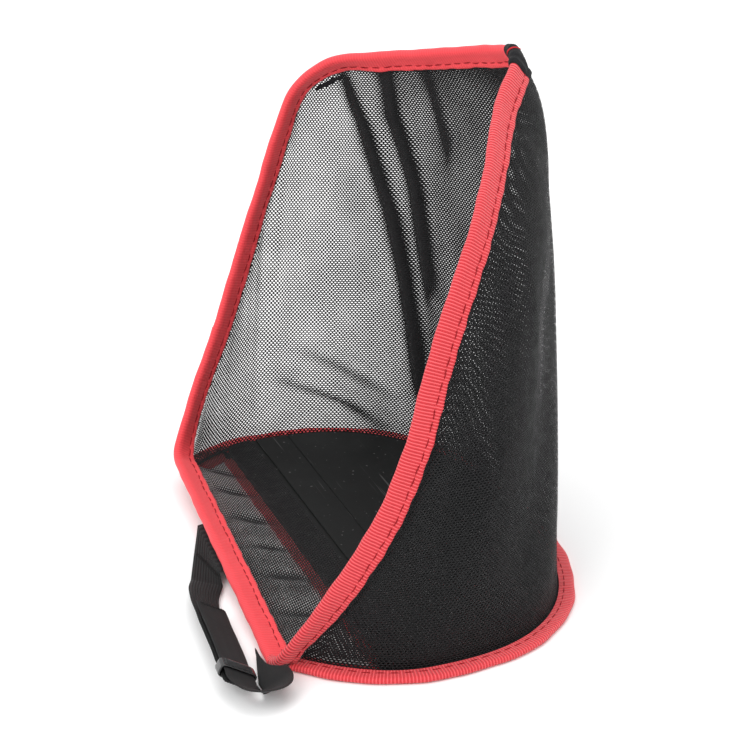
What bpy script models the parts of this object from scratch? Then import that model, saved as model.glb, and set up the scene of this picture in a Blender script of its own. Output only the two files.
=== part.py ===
"""Soft ball-catching net: a wire-rimmed scoop of knitted mesh that stands on a flat D-shaped base.

Frame: metres, +Z up, origin on the floor under the middle of the base. +X runs along the mouth's lip,
from the far corner to the near corner, and +Y runs from the lip into the net, towards its round back.
"""
import math

import bmesh
import bpy
import numpy as np
from mathutils import Matrix

MM = 0.001
GAP = 0.3 * MM

# Base outline: a squarish half ellipse behind, with sides that close in to the mouth's corners.
BASE_HALF_WIDTH = 120 * MM
BASE_MIDDLE_Y = 52 * MM
BASE_BACK_DEPTH = 92 * MM
BASE_SQUARENESS = 2.5
CORNER_HALF_CHORD = 93 * MM
HUB_Y = 45 * MM
# Moves the design so that the origin is on the floor under the middle of the whole object.
X_SHIFT = 0.0
Y_SHIFT = -55.74 * MM

# Mouth corners, where the rim's wire turns from the lip into the two sides.
FAR_CORNER = (-95.5, -0.5, 14.5)
NEAR_CORNER = (99, -13.5, 3.4)

# The wire rim's shape over the sides and top, far corner to near corner, in millimetres.
RIM_POINTS_MM = (
    FAR_CORNER,
    (-106, 14, 44.5),
    (-112.5, 28, 73),
    (-115.5, 45, 120),
    (-113.5, 53, 145),
    (-107, 61, 177),
    (-102, 69, 198),
    (-92.5, 83, 211),
    (-77, 102, 216),
    (-50, 121, 223),
    (-22, 134, 230.5),
    (3, 136, 235.5),
    (31, 116, 220),
    (59, 99, 200),
    (79.5, 83.5, 181),
    (93.5, 67.5, 157),
    (101, 56, 132.5),
    (105.5, 46, 103),
    (108, 34, 77),
    (104.5, 10, 37),
    NEAR_CORNER,
)
# How far the tape's face is turned out about the wire, in degrees, against the knot numbers above.
TAPE_LEAN = (
    (2, 0), (2.7, 9), (3.4, 32), (4.3, 47), (5.3, 49), (6.3, 42), (7.2, 34), (8, 20), (10.3, 18),
    (11, 26), (11.6, 42), (12.3, 42), (13, 34), (14, 30), (15, 30), (16, 24), (17, 16), (18, 8),
    (19, 6), (20, 0),
)
FAR_JOIN_POINT = 2.9  # where along RIM_POINTS_MM the tape is joined on the far side
FAR_FOOT_POINT = 2.0
APEX_POINT = 11.0
NEAR_FOOT_POINT = 16.8
TOP_BEND_POINT = 6.8

GAP_KNOT = 0.05  # the share of a knot left open where two pieces of tape meet
SLEEVE_HALF_KNOT = 0.34
CORNER_KNOT = 0.3  # how far from a corner the tape's feet stop
RIM_STEP = 8.5 * MM
WIRE_RADIUS = 1.25 * MM
CORNER_BEND = 9 * MM
TAPE_THICKNESS = 0.5 * MM
TAPE_WIDTH = 9.2 * MM
TAPE_MOUTH = 0.95 * MM
SLEEVE_EXTRA = 1.2 * MM
MESH_THICKNESS = 0.6 * MM
MESH_TUCK = 3.4 * MM

# Heights of the base's layers, from the floor up: the middle of each sheet.
BINDING_BOTTOM_Z = 0.25 * MM
PANEL_Z = 1.1 * MM
WALL_FOOT_Z = 2.05 * MM
BINDING_TOP_Z = 2.95 * MM
PLATE_BOTTOM_Z = 1.75 * MM
PLATE_THICKNESS = 3.0 * MM
PLATE_TOP_Z = PLATE_BOTTOM_Z + PLATE_THICKNESS
PLATE_INSET = 1.9 * MM
PLATE_FRONT_Y = 33 * MM
PANEL_OVERHANG = 6.6 * MM
PANEL_FRONT_Y = 30 * MM
FLANGE_WIDTH = 8.5 * MM
FLANGE_EDGE = 1.2 * MM
FLANGE_TUCK = 6 * MM
SEAM_FOLD = 0.6 * MM

# Grooves pressed across the plate's top: name, depth into the net, width, depth of the groove.
PLATE_GROOVES = (
    ("fold_groove", 48.5 * MM, 1.4 * MM, 0.7 * MM),
    ("faint_groove", 66 * MM, 0.8 * MM, 0.3 * MM),
)

# The crimp round the wire's two ends, and the cotton wound over the sleeve there.
FERRULE_INNER = WIRE_RADIUS + 1.3 * GAP
FERRULE_WALL = 0.4 * MM
FERRULE_HALF_LENGTH = 2.5 * MM
THREAD_RADIUS = 0.4 * MM
THREAD_HALF_TURN = 80.0
THREAD_LEAN = 1.5 * MM

# The folded strip under the top edge's bend: (distance below the tape, distance off the mesh) in mm.
HEM_SIDE = -1
HEM_SECTION = ((0.9, 1.8), (2.4, 1.5), (4.4, 1.4))
HEM_HALF_KNOT = 0.75
HEM_THICKNESS = 0.5 * MM

# The mesh wall: where it starts and ends along the rim, how far it swells outwards in millimetres
# against its bearing in radians, and the heights of its rows as shares of the whole.
WALL_FIRST = 0.35
WALL_LAST = len(RIM_POINTS_MM) - 1 - 0.42
WALL_BULGE = ((-2.1, 0), (-1.5, 2), (-0.9, 5), (0, 9), (0.5, 16), (1.0, 17), (1.5, 5), (2.1, 0))
WALL_SHARES = (0.14, 0.3, 0.46, 0.62, 0.76, 0.87, 0.94, 1.0)
WALL_FOOT_OUT = (6.2 * MM, 3 * MM, 0)
WALL_PIECES = (("wall_mesh_far", 6.0), ("wall_mesh_back", 12.6), ("wall_mesh_near", 20.0))
WALL_FULL_SWELL_HEIGHT = 80 * MM

# The mesh between the lip and the plate: its middle height over the plate and its rows' depths.
LIP_MESH_Z = PLATE_TOP_Z + GAP + MESH_THICKNESS / 2
LIP_MESH_ROWS_Y = (14, 20, 26, 33, 39.5, 46)
LIP_MESH_COLUMNS = 25
LIP_MESH_INSET = 2.2 * MM
LIP_JOIN_X = 24 * MM
LIP_TAPE_END = 10 * MM
LIP_TAPE_STEP = 16 * MM

STRAP_HALF_WIDTH = 7.5 * MM
STRAP_THICKNESS = 1.1 * MM
STRAP_LAYER_RISE = 2.9 * MM
SLIDER_TILT = -30.0

# The strap's line over the floor in front of the lip: (x, y, tilt of its face from flat in degrees,
# height of its lower edge). Its two ends fold under the lip along one line, the strap's hinge.
STRAP_HINGE = ((-33, -8, 6.9), (97, -17, 2.9))
LOW = 1.2
RUN = (SLIDER_TILT, 2.7)
ELASTIC_START = (0.0, 0.35)
ELASTIC_LINE = (
    (16, -18.5, -12, 1.4),
    (31.5, -24.5, -27, 2.2),
    (42, -26.8, *RUN),
    (52, -27.8, *RUN),
    (82, -30.6, *RUN),
    (111, -33.3, *RUN),
)
WEBBING_LINE = (
    (47, -27.33, *RUN),
    (52, -27.8, *RUN),
    (82, -30.6, *RUN),
    (107, -32.93, *RUN),
    (113.5, -33.5, *RUN),
    (120.2, -30.9, -32, 1.8),
    (122.7, -24.7, -34, 1.6),
    (120.2, -18.5, -40, LOW),
    (114, -15.9, -46, LOW),
    (105.5, -15.6, -48, LOW),
)
WEBBING_END = (0.985, 0.865)
SLIDER_AT = 50.5 * MM
SLIDER_LENGTH = 7 * MM
SLIDER_HALF_WIDTH = 8.8 * MM
SLIDER_HALF_HEIGHT = 3.3 * MM
SLIDER_WALL = 0.9 * MM
SLIDER_BAR = (3 * MM, 0.9 * MM)
STITCH_BAND = (1.4 * MM, 0.6, 0.5 * MM)  # length along the strap, share of its width, thickness
STITCH_RISE = 1.05 * MM

model = None
cutters = None


def clear_scene():
    for item in list(bpy.data.objects):
        bpy.data.objects.remove(item, do_unlink=True)


def new_collection(name):
    collection = bpy.data.collections.new(name)
    bpy.context.scene.collection.children.link(collection)
    return collection


def material(name, colour, roughness, metallic=0.0):
    made = bpy.data.materials.get(name)
    if made is None:
        made = bpy.data.materials.new(name)
        made.use_nodes = True
        shader = made.node_tree.nodes["Principled BSDF"]
        shader.inputs["Base Color"].default_value = (*colour, 1)
        shader.inputs["Roughness"].default_value = roughness
        shader.inputs["Metallic"].default_value = metallic
    return made


def red_tape():
    return material("red_tape", (0.78, 0.045, 0.06), 0.75)


def black_mesh():
    return material("black_mesh", (0.015, 0.015, 0.017), 0.8)


def black_fabric():
    return material("black_fabric", (0.02, 0.02, 0.022), 0.85)


def black_plastic():
    return material("black_plastic", (0.018, 0.019, 0.019), 0.5)


def spring_steel():
    return material("spring_steel", (0.55, 0.56, 0.58), 0.3, 1.0)


# --- geometry helpers ------------------------------------------------------------------------


def unit(vectors):
    return vectors / np.linalg.norm(vectors, axis=-1, keepdims=True)


def smooth_through(points, samples):
    """A smooth curve through the points, by Hermite pieces: (positions, knot numbers)."""
    points = np.array(points, float)
    lengths = np.linalg.norm(np.diff(points, axis=0), axis=1)
    slopes = np.diff(points, axis=0) / lengths[:, None]
    tangents = np.vstack([slopes[:1], slopes, slopes[-1:]])
    before = np.r_[lengths[:1], lengths][:, None]
    after = np.r_[lengths, lengths[-1:]][:, None]
    tangents = (tangents[:-1] * after + tangents[1:] * before) / (before + after)
    where = np.linspace(0, len(points) - 1, samples)
    i = np.minimum(where.astype(int), len(points) - 2)
    t = (where - i)[:, None]
    span = lengths[i][:, None]
    curve = (
        points[i] * (2 * t**3 - 3 * t**2 + 1)
        + tangents[i] * span * (t**3 - 2 * t**2 + t)
        + points[i + 1] * (3 * t**2 - 2 * t**3)
        + tangents[i + 1] * span * (t**3 - t**2)
    )
    return curve, where


def even_steps(curve, extras, step):
    """The curve and the values carried along it, read again at even steps of length."""
    travelled = np.r_[0, np.cumsum(np.linalg.norm(np.diff(curve, axis=0), axis=1))]
    count = max(2, round(travelled[-1] / step) + 1)
    at = np.linspace(0, travelled[-1], count)
    read = [np.interp(at, travelled, column) for column in curve.T]
    return np.column_stack(read), np.interp(at, travelled, extras)


def half_width_at(y):
    """Half the distance between the base's sides at depth y, ahead of its widest line."""
    ahead = np.clip((BASE_MIDDLE_Y - y) / BASE_MIDDLE_Y, 0, None)
    return BASE_HALF_WIDTH - (BASE_HALF_WIDTH - CORNER_HALF_CHORD) * ahead**2


def base_outline():
    """The wall's line on the base, far corner to near corner: points, outward normals, bearings."""
    turn = np.linspace(0, math.pi / 2, 90)
    sine, cosine = np.sin(turn), np.cos(turn)
    reach = (sine**BASE_SQUARENESS + cosine**BASE_SQUARENESS) ** (-1 / BASE_SQUARENESS)
    back_x = BASE_HALF_WIDTH * reach * sine
    back_y = BASE_MIDDLE_Y + BASE_BACK_DEPTH * reach * cosine
    side_y = BASE_MIDDLE_Y * (1 - np.linspace(0, 1, 40)[1:])
    half = np.column_stack([np.r_[back_x, half_width_at(side_y)], np.r_[back_y, side_y]])
    mirrored = half[::-1] * (-1, 1)
    points = np.vstack([mirrored, half[1:]])
    along = unit(np.gradient(points, axis=0))
    outward = np.column_stack([-along[:, 1], along[:, 0]])
    bearing = np.arctan2(points[:, 0], points[:, 1] - HUB_Y)
    return points, outward, bearing


OUTLINE, OUTWARD, BEARING = base_outline()


def outline_at(bearing):
    """Points on the base outline, and the outward directions there, at bearings from the hub."""
    place = np.column_stack([np.interp(bearing, BEARING, OUTLINE[:, k]) for k in (0, 1)])
    outward = np.column_stack([np.interp(bearing, BEARING, OUTWARD[:, k]) for k in (0, 1)])
    return place, unit(outward)


class Rim:
    """The wire's line over the sides and top, with the tape's directions at each station."""

    def __init__(self):
        curve, knot = smooth_through(np.array(RIM_POINTS_MM, float) * MM, 900)
        self.place, self.knot = even_steps(curve, knot, RIM_STEP)
        self.along = unit(np.gradient(self.place, axis=0))
        bearing = np.arctan2(self.place[:, 0], self.place[:, 1] - HUB_Y)
        self.foot, self.outward = outline_at(bearing)
        self.bearing = bearing
        down = np.column_stack([self.foot, np.full(len(bearing), WALL_FOOT_Z)]) - self.place
        across = down - np.sum(down * self.along, axis=1)[:, None] * self.along
        across = unit(across)
        for _ in range(3):
            across[1:-1] = unit(across[:-2] + 2 * across[1:-1] + across[2:])
        across = unit(across - np.sum(across * self.along, axis=1)[:, None] * self.along)
        self.fall = across
        lean = np.radians(np.interp(self.knot, *zip(*TAPE_LEAN)))[:, None]
        self.across = across * np.cos(lean) + np.cross(self.along, across) * np.sin(lean)
        self.normal = unit(np.cross(self.along, self.across))

    def between(self, first, last):
        """Station numbers between two places, given as knot numbers of RIM_POINTS_MM."""
        return [i for i, k in enumerate(self.knot) if first <= k <= last]


RIM = Rim()


def lip_station(x):
    """The wire's place on the straight lip at across position x, and the tape's direction there."""
    share = (x - FAR_CORNER[0] * MM) / ((NEAR_CORNER[0] - FAR_CORNER[0]) * MM)
    place = np.array(FAR_CORNER) * MM * (1 - share) + np.array(NEAR_CORNER) * MM * share
    inner = np.array([x, PLATE_FRONT_Y, LIP_MESH_Z])
    return place, inner


def shifted(points):
    """Points moved into the object's frame, whose origin is under the middle of the base."""
    return np.asarray(points, float) + (X_SHIFT, Y_SHIFT, 0)


# --- object helpers --------------------------------------------------------------------------


def add_object(name, data, look, parent=None):
    made = bpy.data.objects.new(name, data)
    model.objects.link(made)
    data.materials.append(look)
    if parent is not None:
        made.parent = parent
        made.matrix_parent_inverse = parent.matrix_world.inverted()
    return made


def sheet(name, rows, thickness, look, parent=None):
    """A thin closed solid from a grid of points: an open sheet, given its thickness by Solidify."""
    grid = shifted(rows)
    count_u, count_v = grid.shape[0], grid.shape[1]
    made = bmesh.new()
    bmesh.ops.create_grid(made, x_segments=count_u - 1, y_segments=count_v - 1, size=1)
    made.verts.ensure_lookup_table()
    for number, vertex in enumerate(made.verts):
        vertex.co = grid[number % count_u, number // count_u]
    mesh = bpy.data.meshes.new(name)
    made.to_mesh(mesh)
    made.free()
    solid = add_object(name, mesh, look, parent)
    skin = solid.modifiers.new("thickness", "SOLIDIFY")
    skin.thickness = thickness
    skin.offset = 0
    skin.use_even_offset = True
    skin.use_quality_normals = True
    for polygon in mesh.polygons:
        polygon.use_smooth = True
    mesh.set_sharp_from_angle(angle=math.radians(35))
    return solid


def tube(name, points, radius, look, parent=None, resolution=2):
    data = bpy.data.curves.new(name, "CURVE")
    data.dimensions = "3D"
    data.bevel_depth = radius
    data.bevel_resolution = resolution
    data.use_fill_caps = True
    spline = data.splines.new("POLY")
    spline.points.add(len(points) - 1)
    for point, place in zip(spline.points, shifted(points)):
        point.co = (*place, 1)
    return add_object(name, data, look, parent)


def flat_panel(name, outline, bottom, thickness, look):
    """A flat solid of the outline's shape: a filled 2D curve, extruded."""
    data = bpy.data.curves.new(name, "CURVE")
    data.dimensions = "2D"
    data.fill_mode = "BOTH"
    data.extrude = thickness / 2
    spline = data.splines.new("POLY")
    spline.points.add(len(outline) - 1)
    for point, (x, y) in zip(spline.points, outline):
        point.co = (x + X_SHIFT, y + Y_SHIFT, 0, 1)
    spline.use_cyclic_u = True
    made = add_object(name, data, look)
    made.location.z = bottom + thickness / 2
    return made


def as_mesh(curve_object):
    """The same object as a closed mesh, so that it can be cut."""
    bpy.context.view_layer.update()
    graph = bpy.context.evaluated_depsgraph_get()
    mesh = bpy.data.meshes.new_from_object(curve_object.evaluated_get(graph))
    name, place = curve_object.name, curve_object.matrix_world.copy()
    bpy.data.objects.remove(curve_object, do_unlink=True)
    shape = bmesh.new()
    shape.from_mesh(mesh)
    bmesh.ops.remove_doubles(shape, verts=shape.verts, dist=0.00001)
    shape.to_mesh(mesh)
    shape.free()
    made = bpy.data.objects.new(name, mesh)
    model.objects.link(made)
    made.matrix_world = place
    return made


def box_mesh(name, size, centre, turn=None):
    """A box mesh of the given size about a centre, turned by a 3 by 3 matrix."""
    shape = bmesh.new()
    bmesh.ops.create_cube(shape, size=1)
    bmesh.ops.scale(shape, vec=size, verts=shape.verts)
    if turn is not None:
        bmesh.ops.transform(shape, matrix=turn.to_4x4(), verts=shape.verts)
    bmesh.ops.translate(shape, vec=centre, verts=shape.verts)
    mesh = bpy.data.meshes.new(name)
    shape.to_mesh(mesh)
    shape.free()
    return mesh


def boolean(target, name, mesh, operation):
    """Joins a hidden helper solid to the target, or cuts it away."""
    helper = bpy.data.objects.new(name, mesh)
    cutters.objects.link(helper)
    helper.hide_render = True
    helper.display_type = "WIRE"
    change = target.modifiers.new(name, "BOOLEAN")
    change.object = helper
    change.operation = operation
    change.solver = "EXACT"


# --- base ------------------------------------------------------------------------------------


def d_shape(inset, front_y, count=56):
    """The base outline, moved in by inset and cut off straight at front_y."""
    moved = OUTLINE - OUTWARD * inset
    kept = moved[moved[:, 1] > front_y + 0.5 * MM]
    picks = np.unique(np.linspace(0, len(kept) - 1, count).round().astype(int))
    body = kept[picks]
    front = half_width_at(front_y) - inset
    return [(-front, front_y), *map(tuple, body), (front, front_y)]


def build_base_plate():
    """The stiff board that gives the base its shape, with grooves pressed across its top."""
    outline = d_shape(PLATE_INSET, PLATE_FRONT_Y)
    board = flat_panel("base_plate", outline, PLATE_BOTTOM_Z, PLATE_THICKNESS, black_plastic())
    plate = as_mesh(board)
    plate.data.materials.clear()
    plate.data.materials.append(black_plastic())
    for name, groove_y, width, depth in PLATE_GROOVES:
        size = (2.2 * BASE_HALF_WIDTH, width, 2 * depth)
        cutter = box_mesh(name, size, (X_SHIFT, groove_y + Y_SHIFT, PLATE_TOP_Z))
        boolean(plate, name, cutter, "DIFFERENCE")


def build_base_panel():
    """The cloth under the plate, which reaches out between the binding's two leaves."""
    outline = d_shape(-PANEL_OVERHANG, PANEL_FRONT_Y)
    flat_panel("base_panel", outline, PANEL_Z - MESH_THICKNESS / 2, MESH_THICKNESS, black_fabric())


def build_base_binding():
    """The tape folded round the base's curved edge: it lies flat and stands out as a flange."""
    picks = np.unique(np.linspace(12, len(OUTLINE) - 2, 76).round().astype(int))
    profile = (
        (FLANGE_EDGE, BINDING_TOP_Z),
        (FLANGE_WIDTH - FLANGE_EDGE, BINDING_TOP_Z),
        (FLANGE_WIDTH - TAPE_THICKNESS / 2, (BINDING_TOP_Z + BINDING_BOTTOM_Z) / 2),
        (FLANGE_WIDTH - FLANGE_EDGE, BINDING_BOTTOM_Z),
        (-FLANGE_TUCK, BINDING_BOTTOM_Z),
    )
    rows = [
        [(*(OUTLINE[i] + OUTWARD[i] * out), z) for i in picks]
        for out, z in profile
    ]
    sheet("base_binding", np.array(rows).transpose(1, 0, 2), TAPE_THICKNESS, red_tape())


def build_front_seam_tape():
    """The tape folded over the bottom panel's straight front edge."""
    front, back = PANEL_FRONT_Y - 2 * MM, PLATE_FRONT_Y - SEAM_FOLD
    top = 2 * PANEL_Z - BINDING_BOTTOM_Z
    profile = (
        (back, top),
        (front + SEAM_FOLD, top),
        (front, PANEL_Z),
        (front + SEAM_FOLD, BINDING_BOTTOM_Z),
        (back, BINDING_BOTTOM_Z),
    )
    reach = half_width_at(PANEL_FRONT_Y) - 9 * MM
    rows = [[(x, y, z) for y, z in profile] for x in np.linspace(-reach, reach, 5)]
    sheet("front_seam_tape", np.array(rows), TAPE_THICKNESS, red_tape())


# --- wire rim and its tape ----------------------------------------------------------------------


def tape_profile(extra=0.0):
    """The folded tape's section as (distance into the mesh, distance off its face) pairs."""
    side = WIRE_RADIUS + GAP + TAPE_THICKNESS / 2 + extra
    half = (
        (TAPE_WIDTH, TAPE_MOUTH + extra),
        (0.36 * TAPE_WIDTH, TAPE_MOUTH + 0.1 * MM + extra),
        (0.9 * side, 0.95 * side),
        (-0.2 * side, 0.98 * side),
        (-0.8 * side, 0.62 * side),
    )
    mirrored = tuple((into, -off) for into, off in reversed(half))
    return half + ((-side, 0.0),) + mirrored


def tape_rows(stations, extra=0.0):
    rows = []
    for place, across, normal in stations:
        rows.append([place + across * into + normal * off for into, off in tape_profile(extra)])
    return np.array(rows)


def rim_stations(first, last):
    """Stations between two knots of the rim, with the ends placed exactly on them."""
    inner = RIM.between(first, last)
    stations = [(RIM.place[i], RIM.across[i], RIM.normal[i]) for i in inner]
    for knot, at_end in ((first, False), (last, True)):
        read = [
            np.array([np.interp(knot, RIM.knot, values[:, k]) for k in range(3)])
            for values in (RIM.place, RIM.across, RIM.normal)
        ]
        edge = inner[-1] if at_end else inner[0]
        if np.linalg.norm(read[0] - RIM.place[edge]) > 0.25 * RIM_STEP:
            stations.insert(len(stations) if at_end else 0, tuple(read))
        else:
            stations[-1 if at_end else 0] = tuple(read)
    return stations


def lip_stations(first_x, last_x, count):
    stations = []
    for x in np.linspace(first_x, last_x, count):
        place, inner = lip_station(x)
        along = unit(np.array(NEAR_CORNER, float) - np.array(FAR_CORNER, float))
        across = inner - place
        across = unit(across - (across @ along) * along)
        stations.append((place, across, unit(np.cross(along, across))))
    return stations


def wire_points():
    """The hoop's line: from the apex down the near side, along the lip and up the far side."""
    apex = int(np.argmin(np.abs(RIM.knot - APEX_POINT)))
    near_side = RIM.place[apex:-1]
    far_side = RIM.place[1 : apex + 1]
    corners = []
    lip = np.array(FAR_CORNER, float) * MM - np.array(NEAR_CORNER, float) * MM
    lip_way = unit(lip)
    for corner, way_in, way_out in (
        (np.array(NEAR_CORNER, float) * MM, unit(RIM.place[-1] - RIM.place[-2]), lip_way),
        (np.array(FAR_CORNER, float) * MM, lip_way, unit(RIM.place[1] - RIM.place[0])),
    ):
        share = np.linspace(0, 1, 6)[:, None]
        start = corner - way_in * CORNER_BEND * 0.9
        end = corner + way_out * CORNER_BEND * 0.9
        corners.append((1 - share) ** 2 * start + 2 * share * (1 - share) * corner + share**2 * end)
    far_kept = far_side[np.linalg.norm(far_side - corners[1][-1], axis=1) > 0.6 * RIM_STEP]
    near_kept = near_side[np.linalg.norm(near_side - corners[0][0], axis=1) > 0.6 * RIM_STEP]
    far_kept = far_kept[far_kept[:, 2] > corners[1][-1][2]]
    near_kept = near_kept[near_kept[:, 2] > corners[0][0][2]]
    line = np.vstack([near_kept, corners[0], corners[1], far_kept])
    line[0] += unit(line[1] - line[0]) * GAP
    line[-1] += unit(line[-2] - line[-1]) * GAP
    return line


def build_rim(pivot):
    tube("rim_wire", wire_points(), WIRE_RADIUS, spring_steel(), pivot)
    apex = int(np.argmin(np.abs(RIM.knot - APEX_POINT)))
    build_ferrule(RIM.place[apex - 1 : apex + 2], pivot)
    pieces = (
        ("tape_far_lower", FAR_FOOT_POINT + GAP_KNOT, FAR_JOIN_POINT - GAP_KNOT / 5),
        ("tape_top_and_far", FAR_JOIN_POINT + GAP_KNOT / 5, APEX_POINT - SLEEVE_HALF_KNOT),
        ("tape_near_side", APEX_POINT + SLEEVE_HALF_KNOT, NEAR_FOOT_POINT - GAP_KNOT),
    )
    for name, first, last in pieces:
        sheet(name, tape_rows(rim_stations(first, last)), TAPE_THICKNESS, red_tape(), pivot)
    half = SLEEVE_HALF_KNOT - GAP_KNOT
    sleeve = rim_stations(APEX_POINT - half, APEX_POINT + half)
    sheet("apex_sleeve", tape_rows(sleeve, SLEEVE_EXTRA), TAPE_THICKNESS, black_fabric(), pivot)
    build_apex_thread(pivot)
    build_top_hem(pivot)


def build_ferrule(points, pivot):
    """The crimped sleeve that holds the wire's two ends: a short bent tube, open at both ends."""
    before, middle, after = points
    line = [
        middle + unit(before - middle) * FERRULE_HALF_LENGTH,
        middle,
        middle + unit(after - middle) * FERRULE_HALF_LENGTH,
    ]
    middle_radius = FERRULE_INNER + FERRULE_WALL / 2
    made = tube("wire_ferrule", np.array(line), middle_radius, spring_steel(), pivot, resolution=4)
    made.data.use_fill_caps = False
    wall = made.modifiers.new("thickness", "SOLIDIFY")
    wall.thickness = FERRULE_WALL
    wall.offset = 0


def build_apex_thread(pivot):
    """The thread that is wound over the sleeve's outside at the apex."""
    middle = int(np.argmin(np.abs(RIM.knot - APEX_POINT)))
    place, across, normal = RIM.place[middle], RIM.across[middle], RIM.normal[middle]
    sleeve_radius = WIRE_RADIUS + GAP + TAPE_THICKNESS + SLEEVE_EXTRA
    reach = sleeve_radius + GAP + THREAD_RADIUS + 0.5 * MM
    points = []
    for share in np.linspace(-1, 1, 9):
        angle = math.radians(THREAD_HALF_TURN * share)
        lean = RIM.along[middle] * share * THREAD_LEAN
        around = normal * math.sin(angle) - across * math.cos(angle)
        points.append(place + around * reach + lean)
    tube("apex_thread", np.array(points), THREAD_RADIUS, red_tape(), pivot)


def build_top_hem(pivot):
    """The folded strip of mesh under the tape at the bend of the top edge."""
    rows = []
    reach = (TOP_BEND_POINT - HEM_HALF_KNOT, TOP_BEND_POINT + HEM_HALF_KNOT)
    for i in RIM.between(*reach):
        edge = RIM.place[i] + RIM.across[i] * (TAPE_WIDTH + 1.5 * MM)
        side = np.cross(RIM.along[i], RIM.fall[i]) * HEM_SIDE
        rows.append([edge + RIM.fall[i] * into * MM + side * off * MM for into, off in HEM_SECTION])
    sheet("top_hem", np.array(rows), HEM_THICKNESS, black_fabric(), pivot)


def build_tape_feet():
    """The soft ends of the side tapes, next to the corners: they fold with the mesh."""
    for name, first, last in (
        ("tape_far_foot", CORNER_KNOT, FAR_FOOT_POINT - GAP_KNOT),
        ("tape_near_foot", NEAR_FOOT_POINT + GAP_KNOT, len(RIM_POINTS_MM) - 1 - CORNER_KNOT),
    ):
        sheet(name, tape_rows(rim_stations(first, last)), TAPE_THICKNESS, red_tape())


def build_lip_tapes():
    """The binding along the straight lip, in two lengths that meet at a join."""
    far_x = FAR_CORNER[0] * MM + LIP_TAPE_END
    near_x = NEAR_CORNER[0] * MM - LIP_TAPE_END
    for name, first, last in (
        ("tape_lip_far", far_x, LIP_JOIN_X - GAP),
        ("tape_lip_near", LIP_JOIN_X + GAP, near_x),
    ):
        count = max(4, round((last - first) / LIP_TAPE_STEP))
        sheet(name, tape_rows(lip_stations(first, last, count)), TAPE_THICKNESS, red_tape())


# --- mesh ------------------------------------------------------------------------------------


def build_wall():
    """The mesh wall, in three panels: from between the tape's leaves to the turned-out foot."""
    picked = RIM.between(WALL_FIRST, WALL_LAST)
    bulge_at, bulge = zip(*WALL_BULGE)
    rows = []
    for i in picked:
        place, across = RIM.place[i], RIM.across[i]
        foot = np.array([*RIM.foot[i], WALL_FOOT_Z])
        outward = np.array([*RIM.outward[i], 0])
        height = place[2] - WALL_FOOT_Z
        swell = np.interp(RIM.bearing[i], bulge_at, bulge) * MM * min(1, height / WALL_FULL_SWELL_HEIGHT)
        turned_out = [foot + outward * out for out in WALL_FOOT_OUT]
        inner = place + across * (TAPE_WIDTH + 1.5 * MM)
        body = []
        for share in WALL_SHARES:
            level = foot * (1 - share) + inner * share
            body.append(level + outward * swell * share**0.9 * (1 - share**14))
        tucked = [place + across * depth for depth in (7 * MM, MESH_TUCK)]
        rows.append(turned_out + body + tucked)
    rows = np.array(rows)
    knots = RIM.knot[picked]
    first = 0
    for name, up_to in WALL_PIECES:
        last = int(np.searchsorted(knots, up_to)) if up_to < knots[-1] else len(rows) - 1
        piece = rows[first : last + 1].copy()
        if first > 0:
            piece[0] += unit(piece[1] - piece[0]) * 0.6 * GAP
        if last < len(rows) - 1:
            piece[-1] += unit(piece[-2] - piece[-1]) * 0.6 * GAP
        sheet(name, piece, MESH_THICKNESS, black_mesh())
        first = last


def build_lip_mesh():
    """The mesh between the lip tape and the base, which also covers the plate's front edge."""
    rows = []
    for share in np.linspace(-1, 1, LIP_MESH_COLUMNS):
        x_lip = share * (CORNER_HALF_CHORD - 7 * MM) + 2 * MM
        start, inner = lip_station(x_lip)
        row = []
        across = unit(inner - start)
        for depth in (MESH_TUCK, 8 * MM):
            row.append(start + across * depth)
        for y in np.array(LIP_MESH_ROWS_Y) * MM:
            x = share * (half_width_at(y) - LIP_MESH_INSET - 0.3 * max(0, PLATE_FRONT_Y - y))
            fall = np.clip((y - row[1][1]) / (PLATE_FRONT_Y - row[1][1]), 0, 1)
            z = row[1][2] * (1 - fall) + LIP_MESH_Z * fall
            row.append(np.array([x, y, z]))
        rows.append(row)
    sheet("lip_mesh", np.array(rows), MESH_THICKNESS, black_mesh())


# --- strap -----------------------------------------------------------------------------------


def ribbon_rows(line, lift, samples):
    """A flat strap's middle surface along a line: each row holds its low edge, middle and high edge."""
    curve, _ = smooth_through(np.array(line, float), samples)
    along = unit(np.gradient(curve[:, :2], axis=0))
    rows = []
    for (x, y, tilt_degrees, low), way in zip(curve, along):
        tilt = math.radians(tilt_degrees)
        width = np.array([-way[1] * math.cos(tilt), way[0] * math.cos(tilt), math.sin(tilt)])
        face = np.array([way[1] * math.sin(tilt), -way[0] * math.sin(tilt), math.cos(tilt)])
        centre = np.array([x, y, low]) * MM + (0, 0, STRAP_HALF_WIDTH * abs(math.sin(tilt)))
        centre = centre + face * lift
        rows.append([centre + width * STRAP_HALF_WIDTH * side for side in (-1, 0, 1)])
    return rows


def hinge_row(first_share, last_share):
    """A strap end's edge on the hinge line, between two shares of that line."""
    start, end = (np.array(point, float) * MM for point in STRAP_HINGE)
    return np.array([start + (end - start) * s for s in np.linspace(first_share, last_share, 3)])


def faired(edge, row, count):
    """Rows that lead from a slanted end edge to a square row of the strap."""
    return [edge * (1 - t) + np.array(row) * t for t in np.linspace(0, 1, count + 1)[:-1]]


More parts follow.
